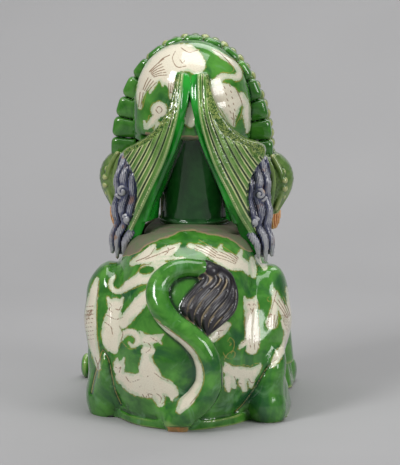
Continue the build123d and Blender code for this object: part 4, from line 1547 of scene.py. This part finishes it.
def sheet_extra(side):
    def extra(points):
        u = side * (points[:, 0] - PARTING_X)
        z = points[:, 2]
        near = points[:, 1] < sheet_middle_y(u, z) + SHEET_HALF_THICK - 1.0
        place = sheet_ridge_place(u, z)
        fraction = place - np.floor(place)
        stipple = stippled_part(side, u, z)
        groove = np.where(near & (place > 0.15) & (stipple < 0.5), 0.5 - np.abs(fraction - 0.5),
                          0.5)
        return {"wall": np.clip(u - along_height(SHEET_FRONT, z), -9, 9), "groove": groove,
                "stipple": np.where(near, stipple, 0)}
    return extra


HEAD_GROUP = [
    ("neck_tube", raw_tube, 0),
    ("head_shell", raw_dome, 1.5),
    ("mane_sheet_left", raw_sheet(-1), 1.2),
    ("mane_sheet_right", raw_sheet(1), 1.2),
    ("mane_locks_left", raw_locks(-1), 0.8),
    ("mane_locks_right", raw_locks(1), 0.8),
    ("ear_left", raw_ear(-1), 1.2),
    ("ear_right", raw_ear(1), 1.2),
    ("scallop_ring", raw_lobes, 0.6),
    ("curl_ring", raw_curls, 0.6),
    ("ear_beads", raw_beads, 0.5),
    ("cheek_tufts", raw_tufts, 1.0),
]
HEAD_LOOK = {
    # the neck tube's dark green is partly painted shade cast by the head and mane above it
    "neck_tube": (dark_green_and_painted_shade, "dark_green_glaze"),
    "head_shell": (decorated, "decorated_green_glaze"),
    "scallop_ring": (plain_green, "green_glaze"),
    "curl_ring": (yellow_green, "yellow_green_glaze"),
    "ear": (yellow_green, "yellow_green_glaze"),
    "ear_beads": (yellow_green, "yellow_green_glaze"),
    "cheek_tufts": (orange_hair, "orange_glaze"),
    "mane_locks": (blue_hair, "blue_glaze"),
    "mane_sheet": (combed_green, "combed_green_glaze"),
}


def dress_head(node, block, field, whole):
    material, slot = HEAD_LOOK[node.removesuffix("_left").removesuffix("_right")]
    painter = dome_painter if node == "head_shell" else None
    extra = None
    if node.startswith("mane_sheet"):
        extra = sheet_extra(-1 if node.endswith("left") else 1)
    finish_piece(node, block, field, whole, material, slot, rounds=1, painter=painter, extra=extra)


sculpt_group(HEAD_GROUP, {node: HEAD_STEP for node, _, _ in HEAD_GROUP} | {
    "mane_locks_left": FINE_STEP, "mane_locks_right": FINE_STEP, "ear_beads": FINE_STEP},
             dress_head)

FACE_LOOK = {
    "face_mask": (plain_green, "green_glaze"),
    "lower_jaw": (plain_green, "green_glaze"),
    "nose": (dark_green_and_painted_shade, "dark_green_glaze"),
    "eyes": (eye_glaze("eye"), "cream_glaze"),
    "eyebrows": (blue_hair, "blue_glaze"),
    "tongue": (orange_hair, "orange_glaze"),
    "upper_teeth": (cream_glaze, "cream_glaze"),
    "lower_teeth": (cream_glaze, "cream_glaze"),
    "chin_beard": (orange_hair, "orange_glaze"),
}


def eye_painter(piece, points, normals):
    """Round dark pupils with a thin ring about them."""
    r = np.hypot(np.abs(points[:, 0] - HEAD_X) - EYE_OUT + 1.0, points[:, 2] - EYE_Z - 1.0)
    note(piece, "pupil", np.where(points[:, 1] > EYE_Y, np.clip(r, 0, 12), 12))


def dress_face(node, block, field, whole):
    material, slot = FACE_LOOK[node]
    finish_piece(node, block, field, whole, material, slot,
                 painter=eye_painter if node == "eyes" else None)


sculpt_group(FACE_GROUP, {"face_mask": HEAD_STEP, "chin_beard": HEAD_STEP} | {
    node: FINE_STEP for node, _, _ in FACE_GROUP[1:-1]}, dress_face)

# ================================================================ studio
def join_shaders(tree, factor, first, second, output):
    """Shows the first shader where the factor is 0 and the second where it is 1."""
    both = tree.nodes.new("ShaderNodeMixShader")
    tree.links.new(factor, both.inputs[0])
    tree.links.new(first.outputs[0], both.inputs[1])
    tree.links.new(second.outputs[0], both.inputs[2])
    tree.links.new(both.outputs[0], tree.nodes[output].inputs["Surface"])


def build_stage():
    """A pale seamless paper: floor, a long curve and a wall."""
    wide, near, far, high, radius = 8.0, -9.0, 1.3, 2.4, 0.7
    profile = [(near, 0.0), (far - radius, 0.0)]
    for step in range(1, 17):
        a = math.pi / 2 * step / 16
        profile.append((far - radius + radius * math.sin(a), radius - radius * math.cos(a)))
    profile.append((far, high))
    points = [(x, y, z) for y, z in profile for x in (-wide, wide)]
    faces = [(2 * i, 2 * i + 1, 2 * i + 3, 2 * i + 2) for i in range(len(profile) - 1)]
    mesh = bpy.data.meshes.new("paper")
    mesh.from_pydata(points, [], faces)
    mesh.shade_smooth()
    paper = bpy.data.objects.new("paper", mesh)
    bpy.context.scene.collection.objects.link(paper)
    n = Nodes("paper")
    shade = n.mix(n.ramp(n.noise(3, 2), 0.3, 0.7), (0.375, 0.373, 0.377), (0.395, 0.393, 0.397))
    n.put(n.surface.inputs["Base Color"], shade)
    n.surface.inputs["Roughness"].default_value = 0.9
    # from behind, the wall lets the eye through
    clear = n.tree.nodes.new("ShaderNodeBsdfTransparent")
    side = n.tree.nodes.new("ShaderNodeNewGeometry")
    join_shaders(n.tree, side.outputs["Backfacing"], n.surface, clear, "Material Output")
    mesh.materials.append(n.material)


def build_world():
    """Even grey daylight, paler where the camera looks past the paper."""
    world = bpy.data.worlds.new("studio")
    bpy.context.scene.world = world
    world.use_nodes = True
    tree = world.node_tree
    light = tree.nodes["Background"]
    light.inputs["Color"].default_value = (0.62, 0.62, 0.63, 1)
    light.inputs["Strength"].default_value = 0.32
    seen = tree.nodes.new("ShaderNodeBackground")
    seen.inputs["Color"].default_value = (0.41, 0.41, 0.415, 1)
    eye = tree.nodes.new("ShaderNodeLightPath")
    join_shaders(tree, eye.outputs["Is Camera Ray"], light, seen, "World Output")


def soft_box(name, place, aim, size, power, color=(1, 1, 1)):
    light = bpy.data.lights.new(name, "AREA")
    light.shape = "RECTANGLE"
    light.size, light.size_y = size
    light.energy = power
    light.color = color
    lamp = bpy.data.objects.new(name, light)
    lamp.location = place
    lamp.rotation_euler = (Vector(aim) - Vector(place)).to_track_quat("-Z", "Y").to_euler()
    bpy.context.scene.collection.objects.link(lamp)


def build_camera():
    """Far off with a long lens, level with the painter's plane."""
    aim = TAIL_ROOT + (BENCH_X, 0, 0) + 24.5 * EYE_RIGHT + 211.8 * EYE_UP
    distance = 12000.0
    tall = 496.2  # how much the frame takes in at the aim, in millimetres
    camera = bpy.data.cameras.new("camera")
    camera.sensor_fit = "VERTICAL"
    camera.sensor_height = 20.0
    camera.lens = camera.sensor_height * distance / tall
    camera.clip_end = 30.0
    seat = bpy.data.objects.new("camera", camera)
    seat.location = Vector((aim - EYE_FORWARD * distance) * MM)
    seat.rotation_euler = Vector(EYE_FORWARD).to_track_quat("-Z", "Y").to_euler()
    bpy.context.scene.collection.objects.link(seat)
    bpy.context.scene.camera = seat


build_stage()
soft_box("key", (-1.3, -1.5, 1.9), (0, 0, 0.2), (0.8, 0.8), 34)
soft_box("fill", (1.9, -1.2, 1.1), (0, 0, 0.2), (0.8, 1.2), 20)
soft_box("top", (0.1, 0.0, 2.3), (0, 0, 0.2), (1.4, 1.4), 20)
soft_box("front", (0.3, 1.2, 1.2), (0, 0, 0.25), (1.0, 1.0), 8)
build_world()
bpy.context.scene.view_settings.view_transform = "Standard"
build_camera()
